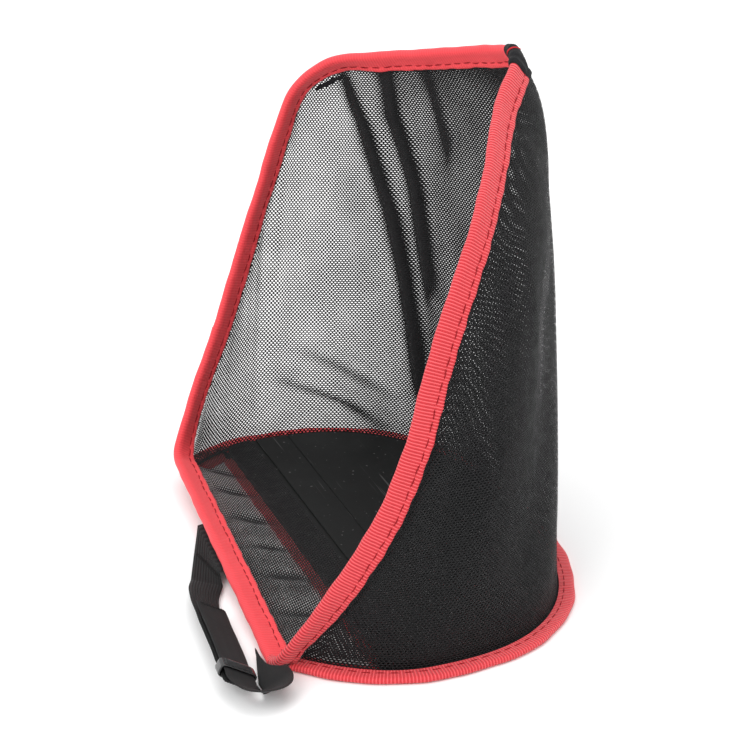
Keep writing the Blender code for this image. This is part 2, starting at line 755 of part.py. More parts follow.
def slider_axes():
    """The slider's place on the doubled run, and its own along, width and face directions."""
    start, end = np.array(ELASTIC_LINE[3][:2]), np.array(ELASTIC_LINE[5][:2])
    way = unit(end - start)
    tilt = math.radians(SLIDER_TILT)
    along = np.array([way[0], way[1], 0])
    width = np.array([-way[1] * math.cos(tilt), way[0] * math.cos(tilt), math.sin(tilt)])
    face = np.cross(along, width)
    height = RUN[1] * MM + STRAP_HALF_WIDTH * abs(math.sin(tilt))
    spot = np.array([*(start * MM + way * SLIDER_AT), height])
    return spot + face * STRAP_LAYER_RISE / 2, along, width, face


def build_slider(pivot):
    """The plastic slider: a frame round both layers of the strap, with a bar between them."""
    centre, along, width, face = slider_axes()
    turn = Matrix((along, width, face)).transposed()
    place = shifted(centre)
    outer = (SLIDER_LENGTH, 2 * SLIDER_HALF_WIDTH, 2 * SLIDER_HALF_HEIGHT)
    body = box_mesh("strap_slider", outer, (0, 0, 0))
    slider = add_object("strap_slider", body, black_plastic(), pivot)
    slider.matrix_world = Matrix.Translation(place) @ turn.to_4x4()
    edges = slider.modifiers.new("edges", "BEVEL")
    edges.width = 0.5 * MM
    edges.segments = 2
    hole = (2 * SLIDER_LENGTH, outer[1] - 2 * SLIDER_WALL, outer[2] - 2 * SLIDER_WALL)
    boolean(slider, "slider_opening", box_mesh("slider_opening", hole, place, turn), "DIFFERENCE")
    bar = (SLIDER_BAR[0], outer[1] - SLIDER_WALL, SLIDER_BAR[1])
    boolean(slider, "slider_bar", box_mesh("slider_bar", bar, place, turn), "UNION")


def build_stitches(pivot, name, row, beside):
    """A band of sewing thread across the strap, lying on its upper face."""
    low, middle, high = (np.array(point) for point in row)
    width = unit(high - low)
    along = unit(np.array(beside[1]) - middle)
    along = unit(along - (along @ width) * width)
    face = np.cross(along, width)
    face = face * (1 if face[2] > 0 else -1)
    turn = Matrix((along, width, np.cross(along, width))).transposed()
    length, width_share, thickness = STITCH_BAND
    centre = middle + face * (STRAP_THICKNESS / 2 + STITCH_RISE + GAP)
    size = (length, width_share * float(np.linalg.norm(high - low)), thickness)
    mesh = box_mesh(name, size, shifted(centre), turn)
    add_object(name, mesh, black_fabric(), pivot)


def build_strap(pivot, slider_pivot):
    run = ribbon_rows(ELASTIC_LINE, 0.0, 22)
    elastic = faired(hinge_row(*ELASTIC_START), run[0], 5) + run
    sheet("elastic_strap", np.array(elastic), STRAP_THICKNESS, black_fabric(), pivot)
    run = ribbon_rows(WEBBING_LINE, STRAP_LAYER_RISE, 40)
    webbing = run + faired(hinge_row(*WEBBING_END), run[-1], 4)[::-1]
    sheet("webbing_strap", np.array(webbing), STRAP_THICKNESS, black_fabric(), pivot)
    build_stitches(pivot, "elastic_end_stitches", elastic[2], elastic[3])
    build_stitches(pivot, "webbing_seam_stitches", webbing[1], webbing[2])
    build_slider(slider_pivot)


def pivot_empty(name, place, parent=None):
    """An empty on a joint's axis, which carries what turns or slides about it."""
    made = bpy.data.objects.new(name, None)
    model.objects.link(made)
    made.location = shifted(place)
    bpy.context.view_layer.update()
    if parent is not None:
        world = made.matrix_world.copy()
        made.parent = parent
        made.matrix_parent_inverse = parent.matrix_world.inverted()
        made.matrix_world = world
        bpy.context.view_layer.update()
    return made


def main():
    global model, cutters
    clear_scene()
    model = new_collection("ball_catching_net")
    cutters = new_collection("cutters")
    build_base_plate()
    build_base_panel()
    build_base_binding()
    build_front_seam_tape()
    build_wall()
    build_lip_mesh()
    build_lip_tapes()
    build_tape_feet()
    build_rim(pivot_empty("rim_pivot", lip_station(0.0)[0]))
    strap_pivot = pivot_empty("strap_pivot", np.array(STRAP_HINGE[0]) * MM)
    build_strap(strap_pivot, pivot_empty("slider_pivot", slider_axes()[0], strap_pivot))


main()
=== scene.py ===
"""Looks for the ball-catching net: knitted mesh, ribbed binding, stiff board and hand strap.

Everything is in metres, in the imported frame: +X along the lip towards the near corner, +Y into the net,
+Z up. Lengths in the tables below are millimetres, before the design is moved by SHIFT.
"""
import math

import bpy
import numpy as np
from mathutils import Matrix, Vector


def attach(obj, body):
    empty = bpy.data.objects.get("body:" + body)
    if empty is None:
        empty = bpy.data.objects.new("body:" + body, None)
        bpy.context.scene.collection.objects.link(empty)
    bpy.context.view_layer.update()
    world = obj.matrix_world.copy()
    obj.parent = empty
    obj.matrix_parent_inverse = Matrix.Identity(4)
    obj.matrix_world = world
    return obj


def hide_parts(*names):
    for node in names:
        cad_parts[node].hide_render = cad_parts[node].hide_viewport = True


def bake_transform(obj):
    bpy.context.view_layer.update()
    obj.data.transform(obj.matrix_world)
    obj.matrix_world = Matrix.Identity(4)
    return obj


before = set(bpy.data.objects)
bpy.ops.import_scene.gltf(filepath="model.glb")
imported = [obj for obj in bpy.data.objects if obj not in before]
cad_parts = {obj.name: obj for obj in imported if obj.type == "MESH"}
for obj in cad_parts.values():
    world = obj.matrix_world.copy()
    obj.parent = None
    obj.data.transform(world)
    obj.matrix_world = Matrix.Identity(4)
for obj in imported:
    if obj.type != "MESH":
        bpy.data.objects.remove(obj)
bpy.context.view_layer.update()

MM = 0.001
GAP = 0.3
SHIFT = np.array((0.0, -55.74, 0.0))

# --- the design, as in the CAD part ------------------------------------------------------------

BASE_HALF_WIDTH, BASE_MIDDLE_Y, BASE_BACK_DEPTH = 120, 52, 92
BASE_SQUARENESS, CORNER_HALF_CHORD, HUB_Y = 2.5, 93, 45
FAR_CORNER, NEAR_CORNER = np.array((-95.5, -0.5, 14.5)), np.array((99, -13.5, 3.4))
RIM_POINTS = np.array(
    (
        FAR_CORNER, (-106, 14, 44.5), (-112.5, 28, 73), (-115.5, 45, 120), (-113.5, 53, 145),
        (-107, 61, 177), (-102, 69, 198), (-92.5, 83, 211), (-77, 102, 216), (-50, 121, 223),
        (-22, 134, 230.5), (3, 136, 235.5), (31, 116, 220), (59, 99, 200), (79.5, 83.5, 181),
        (93.5, 67.5, 157), (101, 56, 132.5), (105.5, 46, 103), (108, 34, 77), (104.5, 10, 37), NEAR_CORNER,
    ),
    float,
)
TAPE_LEAN = (
    (2, 0), (2.7, 9), (3.4, 32), (4.3, 47), (5.3, 49), (6.3, 42), (7.2, 34), (8, 20), (10.3, 18),
    (11, 26), (11.6, 42), (12.3, 42), (13, 34), (14, 30), (15, 30), (16, 24), (17, 16), (18, 8),
    (19, 6), (20, 0),
)
FAR_FOOT, FAR_JOIN, TOP_BEND, APEX, NEAR_FOOT, LAST = 2.0, 2.9, 6.8, 11.0, 16.8, 20.0
SLEEVE_HALF = 0.34
HEM_SIDE = -1
CAD_STEP = 8.5
TAPE_WIDTH = 9.2
NET_DEPTH = TAPE_WIDTH + 1.5
RIB = 1.4
STITCH_IN, STITCH_PITCH, STITCH_LENGTH, STITCH_RADIUS = 6.4, 5.8, 4.7, 0.24
WALL_FOOT_Z, PLATE_TOP, PLATE_FRONT_Y = 2.05, 4.75, 33
LIP_MESH_Z = PLATE_TOP + GAP + 0.3
WALL_FIRST, WALL_LAST = 0.35, LAST - 0.16
WALL_BULGE = ((-2.1, 0), (-1.5, 2), (-0.9, 5), (0, 9), (0.5, 16), (1.0, 17), (1.5, 5), (2.1, 0))
LIP_JOIN_X, CORNER_BEND, CORNER_COUNT, FOOT_KNOT = 24, 8.1, 18, 0.3

STRAP_HINGE = np.array(((-33, -8, 6.9), (97, -17, 2.9)))
STRAP_HALF_WIDTH, STRAP_RISE, SLIDER_TILT = 7.5, 2.9, -30.0
RUN = (SLIDER_TILT, 2.7)
ELASTIC_LINE = ((16, -18.5, -12, 1.4), (31.5, -24.5, -27, 2.2), (42, -26.8, *RUN), (52, -27.8, *RUN),
                (82, -30.6, *RUN), (111, -33.3, *RUN))
WEBBING_LINE = ((47, -27.33, *RUN), (52, -27.8, *RUN), (82, -30.6, *RUN), (107, -32.93, *RUN),
                (113.5, -33.5, *RUN), (120.2, -30.9, -31, 1.8), (122.7, -24.6, -32, 1.2),
                (120.2, -18.3, -32, 0), (114, -15.2, -30, -1.0), (105.5, -14.7, -28, -1.4))
SLIDER_AT = 50.5


# --- curves ------------------------------------------------------------------------------------


def unit(v):
    return v / np.linalg.norm(v, axis=-1, keepdims=True)


def squared(across, along):
    """Directions with their part along the line taken out, at unit length."""
    return unit(across - np.sum(across * along, axis=-1, keepdims=True) * along)


def smooth_through(points, samples):
    points = np.array(points, float)
    lengths = np.linalg.norm(np.diff(points, axis=0), axis=1)
    slopes = np.diff(points, axis=0) / lengths[:, None]
    tangents = np.vstack([slopes[:1], slopes, slopes[-1:]])
    before = np.r_[lengths[:1], lengths][:, None]
    after = np.r_[lengths, lengths[-1:]][:, None]
    tangents = (tangents[:-1] * after + tangents[1:] * before) / (before + after)
    where = np.linspace(0, len(points) - 1, samples)
    i = np.minimum(where.astype(int), len(points) - 2)
    t = (where - i)[:, None]
    span = lengths[i][:, None]
    curve = (
        points[i] * (2 * t**3 - 3 * t**2 + 1)
        + tangents[i] * span * (t**3 - 2 * t**2 + t)
        + points[i + 1] * (3 * t**2 - 2 * t**3)
        + tangents[i + 1] * span * (t**3 - t**2)
    )
    return curve, where


def travelled(points):
    return np.r_[0, np.cumsum(np.linalg.norm(np.diff(points, axis=0), axis=1))]


def read_at(where, known, values):
    return np.column_stack([np.interp(where, known, column) for column in np.array(values, float).T])


def half_width_at(y):
    ahead = np.clip((BASE_MIDDLE_Y - y) / BASE_MIDDLE_Y, 0, None)
    return BASE_HALF_WIDTH - (BASE_HALF_WIDTH - CORNER_HALF_CHORD) * ahead**2


def base_outline():
    turn = np.linspace(0, math.pi / 2, 90)
    sine, cosine = np.sin(turn), np.cos(turn)
    reach = (sine**BASE_SQUARENESS + cosine**BASE_SQUARENESS) ** (-1 / BASE_SQUARENESS)
    side_y = BASE_MIDDLE_Y * (1 - np.linspace(0, 1, 40)[1:])
    x = np.r_[BASE_HALF_WIDTH * reach * sine, half_width_at(side_y)]
    y = np.r_[BASE_MIDDLE_Y + BASE_BACK_DEPTH * reach * cosine, side_y]
    half = np.column_stack([x, y])
    points = np.vstack([half[::-1] * (-1, 1), half[1:]])
    along = unit(np.gradient(points, axis=0))
    outward = np.column_stack([-along[:, 1], along[:, 0]])
    return points, outward, np.arctan2(points[:, 0], points[:, 1] - HUB_Y)


OUTLINE, OUTWARD, BEARING = base_outline()
OUTLINE_RUN = travelled(OUTLINE)


class Rim:
    """The wire's line over the sides and top, read at even steps, with the tape's directions."""

    def __init__(self, step):
        curve, knot = smooth_through(RIM_POINTS, 900)
        run = travelled(curve)
        coarse_at = np.linspace(0, run[-1], max(2, round(run[-1] / CAD_STEP) + 1))
        coarse = read_at(coarse_at, run, curve)
        coarse_along = unit(np.gradient(coarse, axis=0))
        bearing = np.arctan2(coarse[:, 0], coarse[:, 1] - HUB_Y)
        foot = read_at(bearing, BEARING, OUTLINE)
        down = np.column_stack([foot, np.full(len(foot), WALL_FOOT_Z)]) - coarse
        across = squared(down, coarse_along)
        for _ in range(3):
            across[1:-1] = unit(across[:-2] + 2 * across[1:-1] + across[2:])
        self.run = np.linspace(0, run[-1], max(2, round(run[-1] / step) + 1))
        self.place = read_at(self.run, run, curve)
        self.knot = np.interp(self.run, run, knot)
        self.along = unit(np.gradient(self.place, axis=0))
        self.fall = squared(read_at(self.run, coarse_at, across), self.along)
        lean = np.radians(np.interp(self.knot, *zip(*TAPE_LEAN)))[:, None]
        self.across = self.fall * np.cos(lean) + np.cross(self.along, self.fall) * np.sin(lean)
        self.normal = unit(np.cross(self.along, self.across))
        self.bearing = np.arctan2(self.place[:, 0], self.place[:, 1] - HUB_Y)
        self.foot = read_at(self.bearing, BEARING, OUTLINE)
        self.outward = unit(read_at(self.bearing, BEARING, OUTWARD))

    def between(self, first, last):
        """Stations between two knots, with both ends exact: (place, across, normal, run)."""
        inner = (self.knot > first + 0.004) & (self.knot < last - 0.004)
        where = np.r_[np.interp(first, self.knot, self.run), self.run[inner],
                      np.interp(last, self.knot, self.run)]
        return [read_at(where, self.run, v) for v in (self.place, self.across, self.normal)] + [where]


RIM = Rim(RIB / 2)
LIP_WAY = unit(NEAR_CORNER - FAR_CORNER)


def lip_frame(x):
    """The wire's place on the lip at across position x, with the tape's across and normal there."""
    x = np.atleast_1d(np.array(x, float))
    share = ((x - FAR_CORNER[0]) / (NEAR_CORNER[0] - FAR_CORNER[0]))[:, None]
    place = FAR_CORNER * (1 - share) + NEAR_CORNER * share
    inner = np.column_stack([x, np.full(len(x), PLATE_FRONT_Y), np.full(len(x), LIP_MESH_Z)])
    across = squared(inner - place, LIP_WAY)
    return place, across, unit(np.cross(np.broadcast_to(LIP_WAY, across.shape), across))


# --- mesh objects ------------------------------------------------------------------------------


def rolling(values, seed, *waves):
    """Soft, repeatable unevenness along a line: a sum of a few sines of the given lengths."""
    total = np.zeros_like(np.asarray(values, float))
    for number, (length, size) in enumerate(waves):
        phase = math.sin(seed * 12.9898 + number * 4.1414) * 43.7585
        total = total + size * np.sin(2 * math.pi * values / length + phase * 6.28)
    return total


def surface(name, grid, uv, look, wrap=False, caps=False):
    """A mesh from a grid of points in millimetres, with the weave's own map in metres."""
    rows, cols = grid.shape[:2]
    wide = cols if wrap else cols - 1
    i, j = (a.ravel() for a in np.meshgrid(np.arange(rows - 1), np.arange(wide), indexing="ij"))
    k = (j + 1) % cols
    faces = np.column_stack([i * cols + j, (i + 1) * cols + j, (i + 1) * cols + k, i * cols + k]).tolist()
    corners = np.stack([uv[i, j], uv[i + 1, j], uv[i + 1, j + 1], uv[i, j + 1]], 1).reshape(-1, 2) * MM
    if caps:
        faces += [list(range(cols)), list(range(rows * cols - 1, (rows - 1) * cols - 1, -1))]
        corners = np.vstack([corners, np.zeros((2 * cols, 2))])
    mesh = bpy.data.meshes.new(name)
    mesh.from_pydata(((grid.reshape(-1, 3) + SHIFT) * MM).tolist(), [], faces)
    mesh.uv_layers.new(name="weave").data.foreach_set("uv", corners.astype(np.float32).ravel())
    mesh.polygons.foreach_set("use_smooth", np.ones(len(mesh.polygons), bool))
    mesh.set_sharp_from_angle(angle=math.radians(55))
    mesh.materials.append(look)
    made = bpy.data.objects.new(name, mesh)
    bpy.context.scene.collection.objects.link(made)
    return made


def weave_map(lengthwise, crosswise):
    """The weave's map for a swept piece: its run one way and its section's run the other."""
    return np.stack(np.meshgrid(lengthwise, crosswise, indexing="ij"), -1)


def swept(stations, into, off):
    """Points set into and off a line at its stations: (place, direction in, direction off)."""
    place, inward, face = (v[:, None] for v in stations[:3])
    return place + inward * into[..., None] + face * off[..., None]


def joined(name, parts):
    """Several mesh objects as one."""
    for other in bpy.context.selected_objects:
        other.select_set(False)
    for part in parts:
        part.select_set(True)
    bpy.context.view_layer.objects.active = parts[0]
    bpy.ops.object.join()
    parts[0].name = name
    parts[0].data.name = name
    return parts[0]


def thread_run(name, lines, radius, look, sides=6):
    """Short lengths of thread, each a tube through its own points, as one object."""
    parts = []
    angles = np.linspace(0, 2 * math.pi, sides, endpoint=False)
    for number, line in enumerate(lines):
        line = np.array(line, float)
        way = unit(np.gradient(line, axis=0))
        side = unit(np.cross(way, (0.31, 0.22, 0.92)))
        up = np.cross(side, way)
        ends = np.sin(np.linspace(0.16, math.pi - 0.16, len(line))) ** 0.35
        ring = side[:, None] * np.cos(angles)[None, :, None] + up[:, None] * np.sin(angles)[None, :, None]
        grid = line[:, None] + ring * (radius * ends)[:, None, None]
        uv = weave_map(travelled(line), np.linspace(0, 2 * math.pi * radius, sides + 1))
        parts.append(surface(f"{name}_{number}", grid, uv, look, wrap=True, caps=True))
    return joined(name, parts)


# --- materials ---------------------------------------------------------------------------------


class Look:
    """A procedural material: a short way to add and join its nodes."""

    def __init__(self, name):
        self.material = bpy.data.materials.new(name)
        self.material.use_nodes = True
        self.tree = self.material.node_tree
        self.shader = self.tree.nodes["Principled BSDF"]
        self.out = self.tree.nodes["Material Output"]

    def add(self, kind, settings=None, **inputs):
        node = self.tree.nodes.new(kind)
        for key, value in (settings or {}).items():
            setattr(node, key, value)
        for key, value in inputs.items():
            self.put(node.inputs[int(key[1:]) if key[0] == "_" else key.replace("_", " ")], value)
        return node

    def put(self, socket, value):
        if isinstance(value, bpy.types.NodeSocket):
            self.tree.links.new(value, socket)
        else:
            socket.default_value = value

    def math(self, operation, *values):
        node = self.add("ShaderNodeMath", {"operation": operation})
        for socket, value in zip(node.inputs, values):
            self.put(socket, value)
        return node.outputs[0]

    def weave(self):
        """The weave's map, in millimetres: (along, across)."""
        weave = self.add("ShaderNodeUVMap", {"uv_map": "weave"})
        split = self.add("ShaderNodeSeparateXYZ", _0=weave.outputs[0])
        return [self.math("MULTIPLY", split.outputs[n], 1000.0) for n in (0, 1)]

    def place(self):
        return self.add("ShaderNodeTexCoord").outputs["Object"]

    def noise(self, size_mm, detail=3.0, stretch=(1, 1, 1), roughness=0.55):
        """Noise with blotches about size_mm across, in the object's own space."""
        scaled = self.add("ShaderNodeVectorMath", {"operation": "MULTIPLY"}, _0=self.place(),
                          _1=tuple(1000.0 / size_mm * s for s in stretch))
        made = self.add("ShaderNodeTexNoise", Vector=scaled.outputs[0], Scale=1.0, Detail=detail,
                        Roughness=roughness)
        return made.outputs["Fac"]

    def wave(self, value, length):
        """0 to 1 and back over each length."""
        turned = self.math("MULTIPLY", value, 2 * math.pi / length)
        return self.math("MULTIPLY_ADD", self.math("SINE", turned), 0.5, 0.5)

    def span(self, value, low, high, to_low=0.0, to_high=1.0):
        return self.add("ShaderNodeMapRange", _0=value, _1=low, _2=high, _3=to_low, _4=to_high).outputs[0]

    def mix(self, share, first, second):
        node = self.add("ShaderNodeMix", {"data_type": "RGBA"})
        self.put(node.inputs[0], share)
        self.put(node.inputs[6], (*first, 1) if isinstance(first, tuple) else first)
        self.put(node.inputs[7], (*second, 1) if isinstance(second, tuple) else second)
        return node.outputs[2]

    def bump(self, height, depth_mm, strength=1.0, under=None):
        node = self.add("ShaderNodeBump", Strength=strength, Distance=depth_mm * MM, Height=height)
        if under is not None:
            self.put(node.inputs["Normal"], under)
        return node.outputs[0]

    def finish(self, colour, roughness, normal=None, **inputs):
        self.put(self.shader.inputs["Base Color"], (*colour, 1) if isinstance(colour, tuple) else colour)
        self.put(self.shader.inputs["Roughness"], roughness)
        if normal is not None:
            self.put(self.shader.inputs["Normal"], normal)
        for key, value in inputs.items():
            self.put(self.shader.inputs[key.replace("_", " ")], value)
        return self.material


def net_look(name, hole=(0.66, 0.52), colour=(0.0065, 0.0065, 0.007)):
    """Knitted netting: a staggered lattice of open holes between rounded yarns, shut where it gathers."""
    pitch_u, pitch_v = 2.0, 2.2
    look = Look(name)
    u, v = look.weave()
    wander = look.math("SUBTRACT", look.noise(9, 2), 0.5)
    u = look.math("MULTIPLY_ADD", wander, 0.3, u)
    v = look.math("MULTIPLY_ADD", wander, -0.2, v)
    drawn = look.add("ShaderNodeAttribute", {"attribute_name": "gather"}).outputs["Fac"]
    narrow = look.math("MULTIPLY_ADD", drawn, -0.3, 1.0)
    low = look.math("MULTIPLY_ADD", drawn, 1.0, 1.0)
    rounds = []
    for offset in (0.0, 0.5):
        parts = []
        for value, pitch, radius, press in ((u, pitch_u, hole[0], narrow), (v, pitch_v, hole[1], low)):
            cell = look.math("FRACT", look.math("MULTIPLY_ADD", value, 1 / pitch, offset + 100.0))
            away = look.math("MULTIPLY", look.math("SUBTRACT", cell, 0.5), pitch / radius)
            away = look.math("MULTIPLY", look.math("ABSOLUTE", away), press)
            parts.append(look.math("POWER", away, 2.0))
        rounds.append(look.math("ADD", *parts))
    around = look.math("MINIMUM", *rounds)
    around = look.math("MULTIPLY_ADD", look.math("POWER", drawn, 3.0), 2.4, around)
    around = look.math("MULTIPLY_ADD", look.span(look.noise(24, 3), 0.35, 0.65), 0.16, around)
    solid = look.span(around, 0.85, 1.25)
    yarn = look.span(around, 1.0, 2.6)
    twist = look.wave(look.math("ADD", u, look.math("MULTIPLY", v, 1.4)), 0.31)
    normal = look.bump(yarn, 0.28, 0.8, look.bump(twist, 0.05, 0.5))
    shade = look.mix(look.noise(30, 4), colour, tuple(c * 1.7 for c in colour))
    shade = look.mix(look.math("MULTIPLY", yarn, 0.3), shade, (0.014, 0.014, 0.015))
    look.finish(shade, look.span(look.noise(4, 2), 0.3, 0.7, 0.55, 0.75), normal,
                Sheen_Weight=0.05, Sheen_Roughness=0.4, Specular_IOR_Level=0.18)
    clear = look.add("ShaderNodeBsdfTransparent")
    mixed = look.add("ShaderNodeMixShader", Fac=solid, _1=clear.outputs[0], _2=look.shader.outputs[0])
    look.tree.links.new(mixed.outputs[0], look.out.inputs["Surface"])
    return look.material


def tape_look(name, ribs=1.0, red=(0.82, 0.050, 0.062), valley_shade_colour=(0.42, 0.004, 0.010)):
    """Grosgrain binding: round ribs across the tape, fine yarn over them, a soft sheen, with a painted
    highlight on the rib tops, painted shade in the valleys and painted sheen flecks.
    """
    look = Look(name)
    u, v = look.weave()
    drift = look.math("SUBTRACT", look.noise(14, 2), 0.5)
    rib = look.wave(look.math("MULTIPLY_ADD", drift, 0.5, u), RIB)
    yarn = look.wave(v, 0.42)
    weft = look.wave(u, 0.36)
    height = look.math("ADD", look.math("MULTIPLY", rib, ribs), look.math("MULTIPLY", yarn, 0.12))
    normal = look.bump(height, 0.45, 1.0, look.bump(weft, 0.03, 0.5))
    shade = look.mix(look.noise(22, 4), red, tuple(min(1.0, c * 1.12 + 0.012) for c in red))
    # Painted highlight: the rib tops are mixed towards a pale pink, where light would catch them; ribs scales
    # it.
    rib_top_highlight = look.math("MULTIPLY", look.math("POWER", rib, 3.0), 0.55 * ribs)
    shade = look.mix(rib_top_highlight, shade, (0.93, 0.20, 0.22))
    # Painted shade: the valleys between the ribs are mixed towards a deep red.
    rib_valley_shade = look.math("MULTIPLY", look.math("SUBTRACT", 1.0, rib), 0.10 + 0.72 * ribs)
    shade = look.mix(rib_valley_shade, shade, valley_shade_colour)
    # Fine noise: it varies the roughness and mixes in pale pink flecks, a painted sheen.
    fuzz_and_sheen = look.noise(0.9, 2)
    shade = look.mix(look.math("MULTIPLY", fuzz_and_sheen, 0.22), shade, (0.90, 0.13, 0.15))
    return look.finish(shade, look.span(fuzz_and_sheen, 0.3, 0.7, 0.55, 0.78), normal,
                       Sheen_Weight=0.18, Sheen_Roughness=0.35, Specular_IOR_Level=0.25)


def thread_look(name, colour, bright):
    look = Look(name)
    u, v = look.weave()
    strand = look.wave(look.math("ADD", u, look.math("MULTIPLY", v, 0.8)), 0.45)
    shade = look.mix(strand, colour, bright)
    return look.finish(shade, 0.6, look.bump(strand, 0.1), Sheen_Weight=0.02, Specular_IOR_Level=0.15)


def board_look():
    """Stiff moulded board: near-black, fine grain, dust specks, hairline scratches and rubbed marks."""
    look = Look("moulded_board")
    grain = look.noise(0.5, 3)
    cloud = look.noise(38, 4)
    specks = look.span(look.noise(1.7, 0), 0.80, 0.84)
    hair = look.math("MULTIPLY", look.span(look.noise(2.2, 1, (0.03, 1.6, 1)), 0.69, 0.73),
                     look.span(look.noise(46, 2), 0.5, 0.62))
    marks = look.math("MAXIMUM", look.math("MULTIPLY", specks, 0.6), look.math("MULTIPLY", hair, 0.35))
    shade = look.mix(cloud, (0.0065, 0.007, 0.007), (0.0105, 0.011, 0.011))
    shade = look.mix(marks, shade, (0.17, 0.17, 0.17))
    normal = look.bump(grain, 0.05, 0.6, look.bump(hair, -0.04, 0.5))
    return look.finish(shade, look.span(cloud, 0.3, 0.7, 0.5, 0.65), normal, Specular_IOR_Level=0.2)


def cloth_look(name, pitch=0.55, colour=(0.006, 0.006, 0.007)):
    """Plain woven cloth, from the piece's own place so that it needs no map."""
    look = Look(name)
    split = look.add("ShaderNodeSeparateXYZ", _0=look.place())
    a, b, c = (look.math("MULTIPLY", split.outputs[n], 1000.0) for n in range(3))
    warp = look.wave(look.math("ADD", a, look.math("MULTIPLY", c, 0.7)), pitch)
    weft = look.wave(look.math("ADD", b, look.math("MULTIPLY", c, 0.7)), pitch)
    over = look.math("MULTIPLY", warp, weft)
    shade = look.mix(over, colour, tuple(x * 2.3 for x in colour))
    shade = look.mix(look.math("MULTIPLY", look.noise(18, 3), 0.3), shade, (0.018, 0.018, 0.020))
    return look.finish(shade, 0.8, look.bump(over, 0.12, 0.8), Sheen_Weight=0.04, Specular_IOR_Level=0.15)


def elastic_look():
    """Ribbed elastic: cords run along it, with fine covering yarns across them."""
    look = Look("ribbed_elastic")
    u, v = look.weave()
    cord = look.wave(v, 1.3)
    cover = look.wave(u, 0.4)
    shade = look.mix(cord, (0.0014, 0.0014, 0.0017), (0.0085, 0.0085, 0.0092))
    shade = look.mix(look.math("MULTIPLY", look.noise(7, 3), 0.3), shade, (0.0090, 0.0090, 0.0096))
    normal = look.bump(cord, 0.25, 0.8, look.bump(cover, 0.06, 0.6))
    return look.finish(shade, 0.62, normal, Sheen_Weight=0.05, Specular_IOR_Level=0.22)


def webbing_look():
    """Close, smooth webbing: a fine twill whose diagonals cross in a herringbone."""
    look = Look("smooth_webbing")
    u, v = look.weave()
    fold = look.math("PINGPONG", look.math("ADD", v, 20.0), 2.4)
    twill = look.wave(look.math("ADD", u, fold), 0.62)
    shade = look.mix(twill, (0.0022, 0.0021, 0.0025), (0.0068, 0.0065, 0.0070))
    shade = look.mix(look.math("MULTIPLY", look.noise(11, 3), 0.35), shade, (0.0095, 0.0092, 0.0100))
    return look.finish(shade, 0.65, look.bump(twill, 0.08, 0.7), Sheen_Weight=0.05, Specular_IOR_Level=0.2)


def gloss_look():
    """Polished black moulding with faint swirls where it has been rubbed."""
    look = Look("gloss_moulding")
    rub = look.noise(2.5, 5, (0.3, 1.5, 1))
    return look.finish((0.010, 0.010, 0.011), look.span(rub, 0.35, 0.7, 0.10, 0.30),
                       look.bump(rub, 0.02, 0.4), Coat_Weight=0.35, Coat_Roughness=0.08)


def steel_look():
    look = Look("drawn_wire")
    drawn = look.noise(0.6, 3, (0.1, 1, 1))
    shade = look.mix(drawn, (0.42, 0.43, 0.45), (0.66, 0.67, 0.69))
    return look.finish(shade, look.span(drawn, 0.3, 0.7, 0.24, 0.42), look.bump(drawn, 0.02), Metallic=1.0)


def floor_look():
    look = Look("studio_floor")
    return look.finish((0.955, 0.955, 0.955), 0.95, Specular_IOR_Level=0.05)


NET = net_look("knitted_net")
LIP_NET = net_look("knitted_net_lip", (0.60, 0.40))
RIBBED = tape_look("ribbed_tape", 1.0)
SMOOTH = tape_look("worn_flat_tape", 0.16)
FLANGE = tape_look("flange_tape", 0.8)
RED_THREAD = thread_look("red_thread", (0.20, 0.002, 0.006), (0.38, 0.008, 0.014))
BLACK_THREAD = thread_look("black_thread", (0.008, 0.008, 0.008), (0.03, 0.03, 0.03))
CLOTH = cloth_look("woven_cloth")
COVER = cloth_look("sleeve_cloth", 0.9)


# --- joints ------------------------------------------------------------------------------------


def base_piece(piece, slot_name, *nodes, body="base"):
    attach(piece, body)
    if nodes:
        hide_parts(*nodes)
    return piece


def fold_angle(points):
    """Each point's angle about the lip, up from the level through it, in radians."""
    off = points - FAR_CORNER
    off = off - (off @ LIP_WAY)[..., None] * LIP_WAY
    back = unit(np.cross((0, 0, 1.0), LIP_WAY))
    up = np.cross(LIP_WAY, back)
    return np.arctan2(off @ up, off @ back)


def fold_share(points, foot, mouth, wire, knot):
    """How far each point goes with the rim as it folds: none at the foot, all of it under the tape."""
    low = fold_angle(foot)
    far, near = (knot - 0.2) / (FAR_FOOT - 0.2), (LAST - 0.2 - knot) / (LAST - 0.2 - NEAR_FOOT)
    held = np.clip(np.minimum(far, near), 0, 1)
    high = fold_angle(mouth) * held + fold_angle(wire) * (1 - held)
    span = np.maximum(high - low, 0.02)
    return np.clip((fold_angle(points) - low[:, None]) / span[:, None], 0, 1)


def fold_with_rim(piece):
    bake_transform(piece)


# --- binding tape ------------------------------------------------------------------------------

# Half of the folded tape's section: (distance into the mesh, distance off its middle) in millimetres.
TAPE_HALF = (
    (9.20, 0.80), (8.85, 1.12), (8.1, 1.20), (7.15, 1.16), (6.4, 1.00), (5.6, 1.18), (4.6, 1.30),
    (3.6, 1.42), (2.6, 1.64), (1.6, 1.88), (0.5, 1.98), (-0.6, 1.86), (-1.45, 1.40), (-1.95, 0.70),
)
SECTION = TAPE_HALF + ((-2.08, 0.0),) + tuple((a, -b) for a, b in reversed(TAPE_HALF)) + ((8.85, 0.0),)


